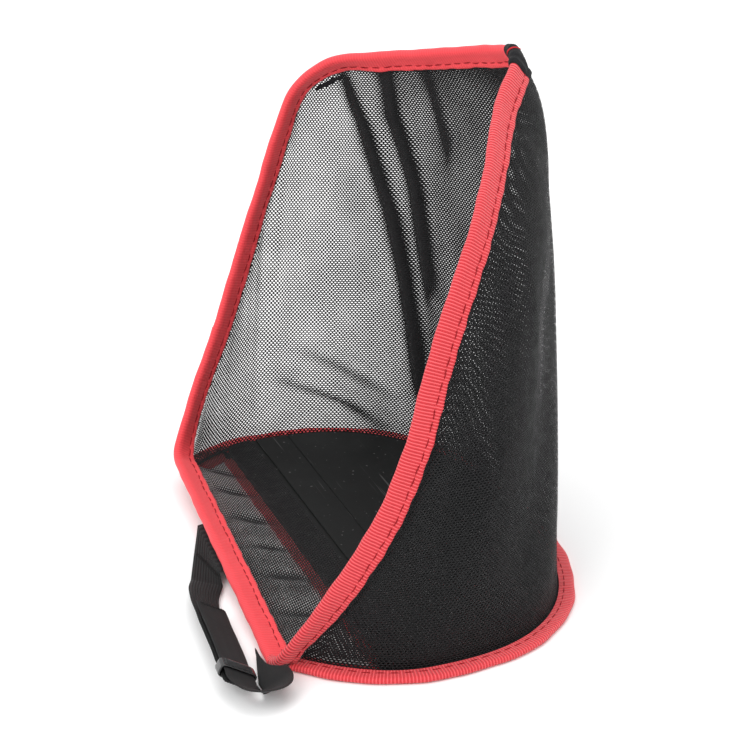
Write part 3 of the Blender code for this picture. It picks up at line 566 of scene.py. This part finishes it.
def tape_grid(stations, seed, ribbed):
    """The tape's surface over its stations: leaves that pucker at the stitching, edges that scallop."""
    run = stations[3]
    into = np.array([a for a, _ in SECTION])[None].repeat(len(run), 0)
    off = np.array([b for _, b in SECTION])[None].repeat(len(run), 0)
    side = np.sign(off)
    leaf = np.clip((into - 3.5) / 4, 0, 1)
    near_stitch = np.exp(-(((into - STITCH_IN) / 0.9) ** 2))
    pull = 0.5 + 0.5 * np.cos(2 * math.pi * run / STITCH_PITCH)
    off = off - side * near_stitch * (0.10 + 0.16 * pull)[:, None]
    off = off + leaf * rolling(run, seed, (23, 0.14), (11.7, 0.08))[:, None]
    edge = np.clip((into - 8.1) / 1.1, 0, 1)
    scallop = np.where(np.arange(len(run)) % 2 == 0, 0.5, -0.5) * (0.24 if ribbed else 0.08)
    into = into + edge * (scallop + rolling(run, seed + 3, (17, 0.18), (7.3, 0.10)))[:, None]
    into = into + np.where(into < 1, rolling(run, seed + 5, (31, 0.15), (13, 0.08))[:, None], 0)
    return swept(stations, into, off), weave_map(run, travelled(np.array(SECTION + SECTION[:1])))


def stitch_lines(stations, lift=1.05):
    """Dashes of thread along both faces of the tape, sunk a little at their ends."""
    place, across, normal, run = stations
    lines = []
    for start in np.arange(run[0] + 1.2, run[-1] - STITCH_LENGTH, STITCH_PITCH):
        where = np.linspace(start, start + STITCH_LENGTH, 5)
        p, a, n = (read_at(where, run, v) for v in (place, across, normal))
        sink = np.array((-0.32, 0.02, 0.08, 0.02, -0.32))[:, None]
        sway = rolling(where, 2, (9, 0.16), (33, 0.22))[:, None]
        for side in (1, -1):
            lines.append(p + a * (STITCH_IN + sway) + n * side * (lift + sink))
    return lines


def rim_tapes():
    for name, node, first, last, look, ribbed in (
        ("far_lower_tape", "tape_far_lower", FAR_FOOT, FAR_JOIN, SMOOTH, False),
        ("top_far_tape", "tape_top_and_far", FAR_JOIN, APEX - SLEEVE_HALF + 0.1, SMOOTH, False),
        ("near_side_tape", "tape_near_side", APEX + SLEEVE_HALF - 0.28, NEAR_FOOT, RIBBED, True),
    ):
        stations = RIM.between(first, last)
        piece = surface(name, *tape_grid(stations, len(name), ribbed), look, wrap=True, caps=True)
        base_piece(piece, "red_tape", node, body="rim")
        threads = thread_run(name + "_stitches", stitch_lines(stations), STITCH_RADIUS, RED_THREAD)
        base_piece(threads, "red_thread", body="rim")


def turning(first, last):
    """Directions that turn evenly from one to another round a corner."""
    share = np.linspace(0, 1, CORNER_COUNT)[:, None]
    return first * (1 - share) + last * share


def round_corner(start, corner, end, across):
    """Stations round a corner of the hoop, with the tape's directions made square to their line."""
    share = np.linspace(0, 1, CORNER_COUNT)[:, None]
    place = (1 - share) ** 2 * start + 2 * share * (1 - share) * corner + share**2 * end
    along = unit(np.gradient(place, axis=0))
    across = squared(across, along)
    return [place, across, unit(np.cross(along, across)), travelled(place)]


def foot_stations(far):
    """A foot's stations and their knots: along one side of the hoop and round its corner."""
    if far:
        side = RIM.between(FOOT_KNOT, FAR_FOOT)
        start = FAR_CORNER + LIP_WAY * CORNER_BEND
        across = turning(lip_frame(FAR_CORNER[0] + CORNER_BEND)[1][0], side[1][0])
        even_end = FAR_CORNER + unit(side[0][0] - FAR_CORNER) * CORNER_BEND
        # The tape turns as round a corner with equal arms, though its arms differ a little.
        across = round_corner(start, FAR_CORNER, even_end, across)[1]
        bend = round_corner(start, FAR_CORNER, side[0][0], across)
        bend[3] = side[3][0] - bend[3][-1] + bend[3]
        knots = np.linspace(0, FOOT_KNOT, CORNER_COUNT - 1), np.interp(side[3], RIM.run, RIM.knot)
        return [np.concatenate([a[:-1], b]) for a, b in zip(bend, side)], np.concatenate(knots)
    side = RIM.between(NEAR_FOOT, LAST - FOOT_KNOT)
    end = NEAR_CORNER - LIP_WAY * CORNER_BEND
    across = turning(side[1][-1], lip_frame(NEAR_CORNER[0] - CORNER_BEND)[1][0])
    bend = round_corner(side[0][-1], NEAR_CORNER, end, across)
    bend[3] = side[3][-1] + bend[3]
    knots = np.interp(side[3], RIM.run, RIM.knot), np.linspace(LAST - FOOT_KNOT, LAST, CORNER_COUNT)[1:]
    return [np.concatenate([a, b[1:]]) for a, b in zip(side, bend)], np.concatenate(knots)


def foot_pieces():
    """The tapes' soft feet: down the sides, round the corners and a little way along the lip."""
    for name, node, look, ribbed, far in (
        ("far_foot_tape", "tape_far_foot", SMOOTH, False, True),
        ("near_foot_tape", "tape_near_foot", RIBBED, True, False),
    ):
        stations, knot = foot_stations(far)
        grid, uv = tape_grid(stations, len(name), ribbed)
        piece = surface(name, grid, uv, look, wrap=True, caps=True)
        fold_with_rim(piece)
        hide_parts(node)
        threads = thread_run(name + "_stitches", stitch_lines(stations), STITCH_RADIUS, RED_THREAD)
        fold_with_rim(threads)


def lip_tapes():
    far_end, near_end = FAR_CORNER[0] + CORNER_BEND, NEAR_CORNER[0] - CORNER_BEND + 3
    for name, node, first, last, grow in (
        ("lip_far_tape", "tape_lip_far", far_end, LIP_JOIN_X + 2, 0.0),
        ("lip_near_tape", "tape_lip_near", LIP_JOIN_X - 2, near_end, 0.28),
    ):
        x = np.linspace(first, last, int((last - first) / (RIB / 2)) + 1)
        place, across, normal = lip_frame(x)
        stations = [place, across, normal, travelled(place)]
        grid, uv = tape_grid(stations, len(name) + 4, False)
        fade = np.clip((x - first) / 12, 0, 1) if grow else np.zeros_like(x)
        thick = (grow * (1 - fade))[:, None, None]
        middle = place[:, None] + across[:, None] * 4
        grid = grid + (grid - middle) * thick * np.array((0.0, 0.16, 0.16))
        piece = surface(name, grid, uv, SMOOTH, wrap=True, caps=True)
        base_piece(piece, "red_tape", node)
        stitches = thread_run(name + "_stitches", stitch_lines(stations), STITCH_RADIUS, RED_THREAD)
        base_piece(stitches, "red_thread")


# --- net ---------------------------------------------------------------------------------------

WALL_RADIUS = 95  # about how many millimetres of wall one radian of bearing takes in

# Soft folds that hang in the wall: (bearing, height) along each, its width and depth in millimetres.
WALL_FOLDS = (
    (((-1.18, 206), (-1.06, 180), (-0.99, 155), (-0.93, 133), (-0.87, 102), (-0.82, 70), (-0.78, 36)),
     3.2, 3.0),
    (((-0.95, 212), (-0.92, 186), (-0.86, 167), (-0.81, 150), (-0.77, 126), (-0.73, 96)), 3.0, 2.7),
    (((-0.73, 212), (-0.66, 188), (-0.62, 170)), 2.6, 1.5),
    (((-1.40, 36), (-1.23, 27), (-1.12, 22), (-0.99, 11)), 4.0, 1.5),
    (((-1.30, 52), (-1.10, 40), (-0.95, 30)), 5.0, 1.1),
    (((0.75, 150), (0.95, 90), (1.1, 30)), 14.0, 3.0),
    (((1.35, 110), (1.5, 60), (1.6, 18)), 11.0, 2.2),
)


def fold_depth(bearing, height):
    """How far the folds push the wall inwards at each bearing and height."""
    total = np.zeros_like(height)
    for line, width, depth in WALL_FOLDS:
        line = np.array(line, float)[::-1]
        middle = np.interp(height, line[:, 1], line[:, 0])
        low, high = line[0, 1], line[-1, 1]
        reach = np.clip((height - low + 14) / 28, 0, 1) * np.clip((high + 14 - height) / 28, 0, 1)
        away = (bearing - middle) * WALL_RADIUS
        total = total + depth * reach * np.exp(-((away / width) ** 2))
        total = total - 0.2 * depth * reach * np.exp(-(((np.abs(away) - 1.9 * width) / width) ** 2))
    return total


def gathered(bearing, height):
    """How closely the net is drawn together at each place: 1 in a fold, where its holes shut."""
    total = np.zeros_like(height)
    for line, width, depth in WALL_FOLDS[:5]:
        line = np.array(line, float)[::-1]
        middle = np.interp(height, line[:, 1], line[:, 0])
        reach = np.clip((height - line[0, 1] + 8) / 14, 0, 1) * np.clip((line[-1, 1] + 8 - height) / 14, 0, 1)
        depth_share = min(0.8, depth / 3.2)
        away = (bearing - middle) * WALL_RADIUS
        total = np.maximum(total, depth_share * reach * np.exp(-((away / (1.4 * width)) ** 2)))
    back = np.clip((bearing + 1.3) / 0.6, 0, 1) * (0.50 - 0.17 * np.clip((bearing - 0.1) / 0.5, 0, 1))
    return total + back * (1 - total)


def draw_in(net, gather):
    """Keeps on the net's points how closely it is drawn together there."""
    held = net.data.attributes.new("gather", "FLOAT", "POINT")
    held.data.foreach_set("value", np.array(gather, np.float32).ravel())


def build_wall():
    picked = (RIM.knot >= WALL_FIRST) & (RIM.knot <= WALL_LAST)
    picks = np.nonzero(picked)[0][::2]
    bulge_at, bulge = zip(*WALL_BULGE)
    shares = np.linspace(0, 1, 90)[1:]
    grid, maps, foots, mouths, gather = [], [], [], [], []
    for i in picks:
        place, across = RIM.place[i], RIM.across[i]
        foot = np.array([*RIM.foot[i], WALL_FOOT_Z])
        outward = np.array([*RIM.outward[i], 0])
        swell = np.interp(RIM.bearing[i], bulge_at, bulge) * min(1, (place[2] - WALL_FOOT_Z) / 80)
        inner = place + across * NET_DEPTH
        share = shares[:, None]
        body = foot * (1 - share) + inner * share
        body = body + outward * swell * share**0.9 * (1 - share**14)
        height = body[:, 2]
        calm = np.clip((1 - shares) * 9, 0, 1) * np.clip(shares * 12, 0, 1)
        body = body - outward * (fold_depth(np.full(len(height), RIM.bearing[i]), height) * calm)[:, None]
        round_wall = OUTLINE_RUN[-1] * (RIM.bearing[i] + 2.4) / 4.8
        ripple = rolling(round_wall + 0.35 * height, 6, (29, 0.25), (53, 0.4))
        body = body + outward * (ripple * calm)[:, None]
        tongue = min(1, 0.08 + max(0, min(RIM.knot[i] - WALL_FIRST, WALL_LAST - RIM.knot[i]) - 0.15) / 0.6)
        turned = np.array([foot + outward * out * tongue for out in (6.2, 4.6, 3, 1.5, 0.5, 0)])
        tucked = np.array([place + across * depth for depth in (8.9, 7.4, 5.4, 3.4)])
        column = np.vstack([turned, body, tucked])
        grid.append(column)
        drawn = gathered(np.full(len(height), RIM.bearing[i]), height)
        gather.append(np.r_[np.ones(6), drawn, np.ones(4)])
        along_foot = np.interp(RIM.bearing[i], BEARING, OUTLINE_RUN)
        maps.append(np.column_stack([np.full(len(column), along_foot), travelled(column)]))
        foots.append(foot)
        mouths.append(inner)
    grid = np.array(grid)
    wall = surface("wall_net", grid, np.array(maps), NET)
    draw_in(wall, gather)
    share = fold_share(grid, np.array(foots), np.array(mouths), RIM.place[picks], RIM.knot[picks])
    fold_with_rim(wall)
    yarn = wall.modifiers.new("yarn", "SOLIDIFY")
    yarn.thickness, yarn.offset, yarn.use_rim = 0.45 * MM, 0.0, False
    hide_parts("wall_mesh_far", "wall_mesh_back", "wall_mesh_near")


LIP_WRINKLES = (
    (-80, 3.4, 0.9), (-58, 3.6, 1.2), (-28, 4.2, 1.2), (2, 3.0, 0.5), (30, 5.0, 1.1), (66, 3.6, 0.9),
)


def build_lip_net():
    grid, maps, gather = [], [], []
    for share in np.linspace(-1, 1, 180):
        x_lip = share * (CORNER_HALF_CHORD - 2.5) + 2
        place = lip_frame(x_lip)[0][0]
        across = unit(np.array([x_lip, PLATE_FRONT_Y, LIP_MESH_Z]) - place)
        row = [place + across * depth for depth in (3.4, 5.6, 8.0)]
        start, drawn = row[-1], [1.0, 1.0, 0.5]
        for y in np.r_[np.linspace(10, 33, 16), np.linspace(34.5, 46, 8)]:
            x = share * (half_width_at(y) - 1.6 - 0.06 * max(0, PLATE_FRONT_Y - y))
            fall = np.clip((y - start[1]) / (PLATE_FRONT_Y - start[1]), 0, 1)
            z = start[2] * (1 - fall) + LIP_MESH_Z * fall
            free = math.sin(math.pi * np.clip(fall, 0, 1))
            pull = 0.25
            for at, width, depth in LIP_WRINKLES:
                near = free * math.exp(-(((x - at - 0.5 * (y - 20)) / width) ** 2))
                z -= depth * near
                pull = max(pull, 0.25 + 0.5 * near)
            drawn.append(pull)
            z += 0.25 * free * math.sin(x / 6.1 + y / 9)
            row.append(np.array([x, y, z]))
        grid.append(row)
        gather.append(drawn)
        maps.append(np.column_stack([np.full(len(row), share * 105), travelled(np.array(row))]))
    lip = surface("lip_net", np.array(grid), np.array(maps), LIP_NET)
    draw_in(lip, gather)
    base_piece(lip, "mesh", "lip_mesh")


# --- base --------------------------------------------------------------------------------------

FLANGE_PROFILE = (
    (1.0, 3.10), (2.2, 3.20), (3.4, 3.12), (4.4, 3.20), (5.8, 3.18), (7.2, 3.12), (8.1, 2.7), (8.45, 1.6),
    (8.1, 0.5), (7.2, 0.06), (3.0, 0.02), (-2, 0.02), (-6, 0.02), (-6, 0.45), (0, 0.5), (6.8, 0.62),
    (7.6, 1.6), (6.8, 2.6), (1.0, 2.7),
)


def build_flange():
    """The binding round the base's curved edge, with its row of stitches and soft waves in its edge."""
    # Its near end is carried on a little, to pass under the near corner's tape.
    way_on = unit(NEAR_CORNER[:2] - OUTLINE[-1])
    line, side = np.vstack([OUTLINE, OUTLINE[-1] + way_on * 3.2]), np.vstack([OUTWARD, OUTWARD[-1:]])
    known = travelled(line)
    first, last = known[12], known[-1]
    run = np.arange(first, last, RIB / 2)
    centre, outward = read_at(run, known, line), unit(read_at(run, known, side))
    profile = np.array(FLANGE_PROFILE)
    out = np.repeat(profile[None, :, 0], len(run), 0)
    height = np.repeat(profile[None, :, 1], len(run), 0)
    edge = np.clip((out - 5) / 3.4, 0, 1)
    stagger = np.where(np.arange(len(run)) % 2, 0.07, -0.07)
    out = out + edge * (rolling(run, 8, (41, 0.3), (19, 0.16)) + stagger)[:, None]
    top = (height > 2.65) * np.clip((out - 1) / 2, 0, 1)
    height = height + top * rolling(run, 9, (37, 0.14), (15, 0.07))[:, None] - top * 0.06
    grid = np.dstack([centre[:, None] + outward[:, None] * out[..., None], height])
    uv = weave_map(run, travelled(np.array(FLANGE_PROFILE + FLANGE_PROFILE[:1])))
    base_piece(surface("flange_tape", grid, uv, FLANGE, wrap=True, caps=True), "red_tape", "base_binding")
    lines = []
    for start in np.arange(first + 2, last - 6, STITCH_PITCH):
        where = np.linspace(start, start + STITCH_LENGTH, 5)
        c, o = read_at(where, known, line), unit(read_at(where, known, side))
        rise = 3.12 + np.array((-0.22, 0.06, 0.12, 0.06, -0.22)) + rolling(where, 9, (37, 0.14), (15, 0.07))
        lines.append(np.column_stack([c + o * 3.4, rise]))
    base_piece(thread_run("flange_stitches", lines, STITCH_RADIUS, RED_THREAD), "red_thread")


def build_front_seam():
    reach = half_width_at(30) - 9
    x = np.arange(-reach, reach, RIB / 2)
    profile = np.array((
        (32.6, 2.10), (30.4, 2.18), (29.0, 2.16), (28.1, 1.7), (27.8, 1.1), (28.1, 0.5), (29.0, 0.08),
        (32.6, 0.02), (32.6, 0.45), (29.2, 0.5), (28.6, 1.1), (29.2, 1.7), (32.6, 1.65),
    ))
    grid = np.zeros((len(x), len(profile), 3))
    grid[..., 0] = x[:, None]
    grid[..., 1:] = profile[None]
    grid[..., 1] += np.where(profile[:, 0] < 29.5, 1, 0)[None] * rolling(x, 4, (21, 0.15), (9, 0.06))[:, None]
    uv = weave_map(x, travelled(np.vstack([profile, profile[:1]])))
    base_piece(surface("front_seam", grid, uv, FLANGE, wrap=True, caps=True), "red_tape", "front_seam_tape")


def build_base_cloth():
    """The cloth under the board: one flat sheet that the flange's two leaves hold round its edge."""
    picks = np.unique(np.linspace(0, len(OUTLINE) - 1, 120).round().astype(int))
    edge = OUTLINE[picks] + OUTWARD[picks] * 5.8
    edge = edge[edge[:, 1] > 30]
    hub = np.array((0.0, 72.0))
    rings = np.linspace(0.02, 1, 14)
    grid = np.array([
        [(*(hub * (1 - s) + e * s), 1.1 + 0.12 * math.sin(e[0] / 9 + s * 14)) for s in rings]
        for e in edge
    ])
    cloth = surface("base_cloth", grid, grid[..., :2], CLOTH)
    front = []
    for x in np.linspace(edge[0][0], edge[-1][0], 60):
        end = np.array((x, 30.3))
        front.append([(*(hub * (1 - s) + end * s), 1.1) for s in rings])
    front = surface("base_cloth_front", np.array(front), np.array(front)[..., :2], CLOTH)
    whole = joined("base_cloth", [cloth, front])
    base_piece(whole, "base_panel", "base_panel")


# --- apex --------------------------------------------------------------------------------------


def build_apex():
    stations = RIM.between(APEX - SLEEVE_HALF, APEX + SLEEVE_HALF)
    grid, uv = tape_grid(stations, 12, False)
    share = np.linspace(-1, 1, len(stations[3]))
    puff = 1.2 * np.sqrt(np.clip(1 - np.abs(share) ** 3, 0.06, 1))
    middle = stations[0][:, None] + stations[1][:, None] * 3.5
    outward = unit(grid - middle)
    lump = rolling(stations[3], 7, (6.3, 0.3), (3.7, 0.16))
    grid = grid + outward * (puff + lump * 0.7)[:, None, None]
    cover = surface("apex_cover", grid, uv, COVER, wrap=True, caps=True)
    base_piece(cover, "black_fabric", "apex_sleeve", body="rim")
    turn = np.radians(np.linspace(-70, 70, 26))
    place, across, normal, _ = (v[len(v) // 2] for v in stations)
    along = np.cross(across, normal)
    strands = []
    for shift, lean in ((-0.2, 2.4), (0.25, 1.7)):
        around = normal * np.sin(turn)[:, None] - across * np.cos(turn)[:, None]
        strands.append(place + around * 3.6 + along * (shift + lean * turn / 1.6)[:, None])
    bright = thread_look("bright_thread", (0.45, 0.008, 0.014), (0.66, 0.03, 0.04))
    piece = thread_run("apex_winding", strands, 0.27, bright)
    base_piece(piece, "red_thread", "apex_thread", body="rim")


def build_hem():
    """A small fold of the cloth's raw edge that hangs below the tape at its top bend."""
    picked = (RIM.knot >= TOP_BEND - 0.72) & (RIM.knot <= TOP_BEND + 0.2)
    run, fall = RIM.run[picked], RIM.fall[picked]
    edge = RIM.place[picked] + RIM.across[picked] * NET_DEPTH
    face = unit(np.cross(RIM.along[picked], fall)) * HEM_SIDE
    fade = np.sin(np.linspace(0.25, math.pi - 0.25, len(run))) ** 0.6
    wave = rolling(run, 3, (9, 0.16), (4.4, 0.08))
    section = ((0.9, 1.55), (1.7, 1.75), (2.6, 1.7), (3.4, 1.4), (3.2, 1.15), (2.4, 1.05), (1.4, 1.0))
    down = 0.9 + (np.array([a for a, _ in section])[None] - 0.9) * fade[:, None] + wave[:, None]
    out = np.array([b for _, b in section])[None] + 0.4 * wave[:, None]
    grid, uv = swept((edge, fall, face), down, out), weave_map(run, np.linspace(0, 9, len(section) + 1))
    hem = surface("corner_hem", grid, uv, COVER, wrap=True, caps=True)
    base_piece(hem, "black_fabric", "top_hem", body="rim")


# --- strap -------------------------------------------------------------------------------------


def ribbon_rows(line, lift, samples):
    curve, _ = smooth_through(np.array(line, float), samples)
    along = unit(np.gradient(curve[:, :2], axis=0))
    rows = []
    for (x, y, degrees, low), way in zip(curve, along):
        tilt = math.radians(degrees)
        width = np.array([-way[1] * math.cos(tilt), way[0] * math.cos(tilt), math.sin(tilt)])
        face = np.array([way[1] * math.sin(tilt), -way[0] * math.sin(tilt), math.cos(tilt)])
        centre = np.array([x, y, low]) + (0, 0, STRAP_HALF_WIDTH * abs(math.sin(tilt))) + face * lift
        rows.append([centre + width * STRAP_HALF_WIDTH * side for side in (-1, 0, 1)])
    return rows


def hinge_row(first, last):
    start, span = STRAP_HINGE[0], STRAP_HINGE[1] - STRAP_HINGE[0]
    return np.array([start + span * s for s in np.linspace(first, last, 3)])


def faired(edge, row, count):
    return [edge * (1 - t) + np.array(row) * t for t in np.linspace(0, 1, count + 1)[:-1]]


def ribbon(name, rows, thick, look, ribs):
    """A strap with rounded edges: its section is swept along rows of (low edge, middle, high edge)."""
    rows = np.array(rows)
    low, middle, high = rows[:, 0], rows[:, 1], rows[:, 2]
    along = unit(np.gradient(middle, axis=0))
    width = unit(high - low)
    face = unit(np.cross(along, width))
    half = np.linalg.norm(high - low, axis=1) / 2
    count = 46
    t = np.linspace(-1, 1, count)
    depth = thick / 2 * np.clip(1 - np.abs(t) ** 12, 0.25, 1)
    if ribs:
        depth = depth + 0.09 * np.cos(2 * math.pi * t * STRAP_HALF_WIDTH / 1.3) - 0.06
    section = [(a, d) for a, d in zip(t, depth)] + [(a, -d) for a, d in zip(t[::-1], depth[::-1])]
    across = np.array([a for a, _ in section])
    off = np.array([d for _, d in section])
    run = travelled(middle)
    cup = rolling(run, 5, (36, 0.18), (17, 0.08))[:, None] * (across**2 - 0.4)[None]
    grid = swept((middle, width, face), half[:, None] * across[None], off[None] + cup)
    uv = weave_map(run, np.r_[across, across[0]] * STRAP_HALF_WIDTH)
    return surface(name, grid, uv, look, wrap=True, caps=True)


def across_stitches(name, row, following, rise, count, look):
    """A band of zigzag stitching over the strap's upper face."""
    low, middle, high = (np.array(p) for p in row)
    width = unit(high - low)
    along = unit(np.array(following[1]) - middle)
    along = unit(along - (along @ width) * width)
    face = np.cross(along, width)
    face = face * (1 if face[2] > 0 else -1)
    span = np.linalg.norm(high - low) * 0.84
    lines = []
    for n in range(count):
        a = (n / count - 0.5) * span
        b = ((n + 0.85) / count - 0.5) * span
        step = 0.8 if n % 2 else -0.8
        ends = [middle + width * a + along * step, middle + width * b - along * step]
        line = np.array([ends[0] * (1 - s) + ends[1] * s for s in (0, 0.5, 1)])
        lines.append(line + face * (rise + np.array((-0.15, 0.1, -0.15)))[:, None])
    return thread_run(name, lines, 0.2, look)


def build_strap():
    run = ribbon_rows(ELASTIC_LINE, 0.0, 90)
    hinge = hinge_row(0.0, 0.35)
    under_tape = lip_frame(hinge[:, 0])[0] + (0, 4.5, -3.0)
    elastic = faired(under_tape, hinge, 4) + faired(hinge, run[0], 16) + run
    band = ribbon("elastic_band", elastic, 1.1, elastic_look(), True)
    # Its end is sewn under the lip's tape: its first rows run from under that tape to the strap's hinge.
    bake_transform(band)
    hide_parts("elastic_strap")
    run = ribbon_rows(WEBBING_LINE, STRAP_RISE, 130)
    webbing = run + faired(hinge_row(0.985, 0.865), run[-1], 14)[::-1]
    smooth_band = ribbon("webbing_band", webbing, 1.0, webbing_look(), False)
    base_piece(smooth_band, "webbing", "webbing_strap", body="strap")
    ends = across_stitches("elastic_end_thread", elastic[12], elastic[14], 0.85, 22, BLACK_THREAD)
    base_piece(ends, "black_thread", "elastic_end_stitches", body="strap")
    seam = across_stitches("webbing_seam_thread", webbing[3], webbing[5], 0.8, 16, BLACK_THREAD)
    base_piece(seam, "black_thread", "webbing_seam_stitches", body="strap")


def build_slider():
    """The plastic slider: a rounded ring round both layers of the strap, with a bar between them."""
    start, end = np.array(ELASTIC_LINE[3][:2]), np.array(ELASTIC_LINE[5][:2])
    way = unit(end - start)
    tilt = math.radians(SLIDER_TILT)
    along = np.array([way[0], way[1], 0])
    width = np.array([-way[1] * math.cos(tilt), way[0] * math.cos(tilt), math.sin(tilt)])
    face = np.cross(along, width)
    centre = np.array([*(start + way * SLIDER_AT), RUN[1] + STRAP_HALF_WIDTH * abs(math.sin(tilt))])
    centre = centre + face * STRAP_RISE / 2
    turn = np.linspace(0, 2 * math.pi, 96, endpoint=False)
    power = 0.34
    ring = np.column_stack([
        8.35 * np.sign(np.cos(turn)) * np.abs(np.cos(turn)) ** power,
        2.85 * np.sign(np.sin(turn)) * np.abs(np.sin(turn)) ** power,
    ])
    tangent = unit(np.roll(ring, -1, 0) - np.roll(ring, 1, 0))
    out = np.column_stack([tangent[:, 1], -tangent[:, 0]])
    spin = np.linspace(0, 2 * math.pi, 28, endpoint=False)
    lengthwise = 3.45 * np.sign(np.cos(spin)) * np.abs(np.cos(spin)) ** 0.3
    radial = 0.45 * np.sign(np.sin(spin)) * np.abs(np.sin(spin)) ** 0.55
    bowed = 1 - 0.05 * (ring[:, 0] / 8.35) ** 2
    points = []
    for (w, f), o, bow in zip(ring, out, bowed):
        points.append([centre + along * (a * bow) + width * (w + o[0] * r) + face * (f + o[1] * r)
                       for a, r in zip(lengthwise, radial)])
    points = np.array(points + points[:1])
    uv = np.zeros((97, 29, 2))
    gloss = gloss_look()
    shell = surface("slider_loop", points, uv, gloss, wrap=True)
    steps = np.linspace(-8.2, 8.2, 20)
    bar = []
    for w in steps:
        bar.append([centre + width * w + along * (1.2 * math.cos(a)) + face * (0.45 * math.sin(a))
                    for a in np.linspace(0, 2 * math.pi, 16, endpoint=False)])
    rod = surface("slider_bar", np.array(bar), np.zeros((20, 17, 2)), gloss, wrap=True, caps=True)
    grips = [rod]
    for n in (-1, 0, 1):
        line = np.array([centre + width * w + along * 1.3 * n + face * 3.3 for w in np.linspace(-6, 6, 9)])
        grips.append(thread_run(f"grip_{n + 1}", [line], 0.3, gloss, 10))
    base_piece(joined("slider_loop", [shell] + grips), "slider", "strap_slider", body="slider")


# --- stage -------------------------------------------------------------------------------------


def build_stage():
    size = 6.0
    mesh = bpy.data.meshes.new("floor")
    corners = [(-size, -size, 0), (size, -size, 0), (size, size, 0), (-size, size, 0)]
    mesh.from_pydata(corners, [], [(0, 1, 2, 3)])
    mesh.materials.append(floor_look())
    floor = bpy.data.objects.new("floor", mesh)
    floor.location.z = -0.0003
    bpy.context.scene.collection.objects.link(floor)
    world = bpy.data.worlds.new("studio")
    world.use_nodes = True
    world.node_tree.nodes["Background"].inputs[0].default_value = (1, 1, 1, 1)
    world.node_tree.nodes["Background"].inputs[1].default_value = 1.0
    bpy.context.scene.world = world
    bpy.context.scene.view_settings.view_transform = "Standard"
    aim = Vector((0, 0, 0.11))
    for name, place, size, power in (
        ("key", (0.55, -1.0, 1.15), 0.9, 9.0),
        ("top", (-0.2, 0.1, 1.5), 1.2, 7.0),
        ("side", (1.3, 0.5, 0.6), 0.8, 2.5),
    ):
        lamp = bpy.data.lights.new(name, "AREA")
        lamp.energy = power
        lamp.size = size
        item = bpy.data.objects.new(name, lamp)
        item.location = place
        item.rotation_mode = "QUATERNION"
        item.rotation_quaternion = (aim - Vector(place)).to_track_quat("-Z", "Y")
        bpy.context.scene.collection.objects.link(item)


def build_camera():
    data = bpy.data.cameras.new("camera")
    data.sensor_width = 36
    data.lens = 108.7
    data.clip_start, data.clip_end = 0.05, 50
    camera = bpy.data.objects.new("camera", data)
    camera.location = Vector((np.array((897.50, -271.45, 514.65)) + SHIFT) * MM)
    camera.rotation_mode = "QUATERNION"
    camera.rotation_quaternion = Vector((-0.85375, 0.32527, -0.40659)).to_track_quat("-Z", "Y")
    bpy.context.scene.collection.objects.link(camera)
    bpy.context.scene.camera = camera


def repaint(node, look):
    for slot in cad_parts[node].material_slots:
        slot.material = look


build_camera()
build_stage()
repaint("base_plate", board_look())
repaint("rim_wire", steel_look())
repaint("wire_ferrule", steel_look())
build_wall()
build_lip_net()
rim_tapes()
foot_pieces()
lip_tapes()
build_flange()
build_front_seam()
build_base_cloth()
build_apex()
build_hem()
build_strap()
build_slider()
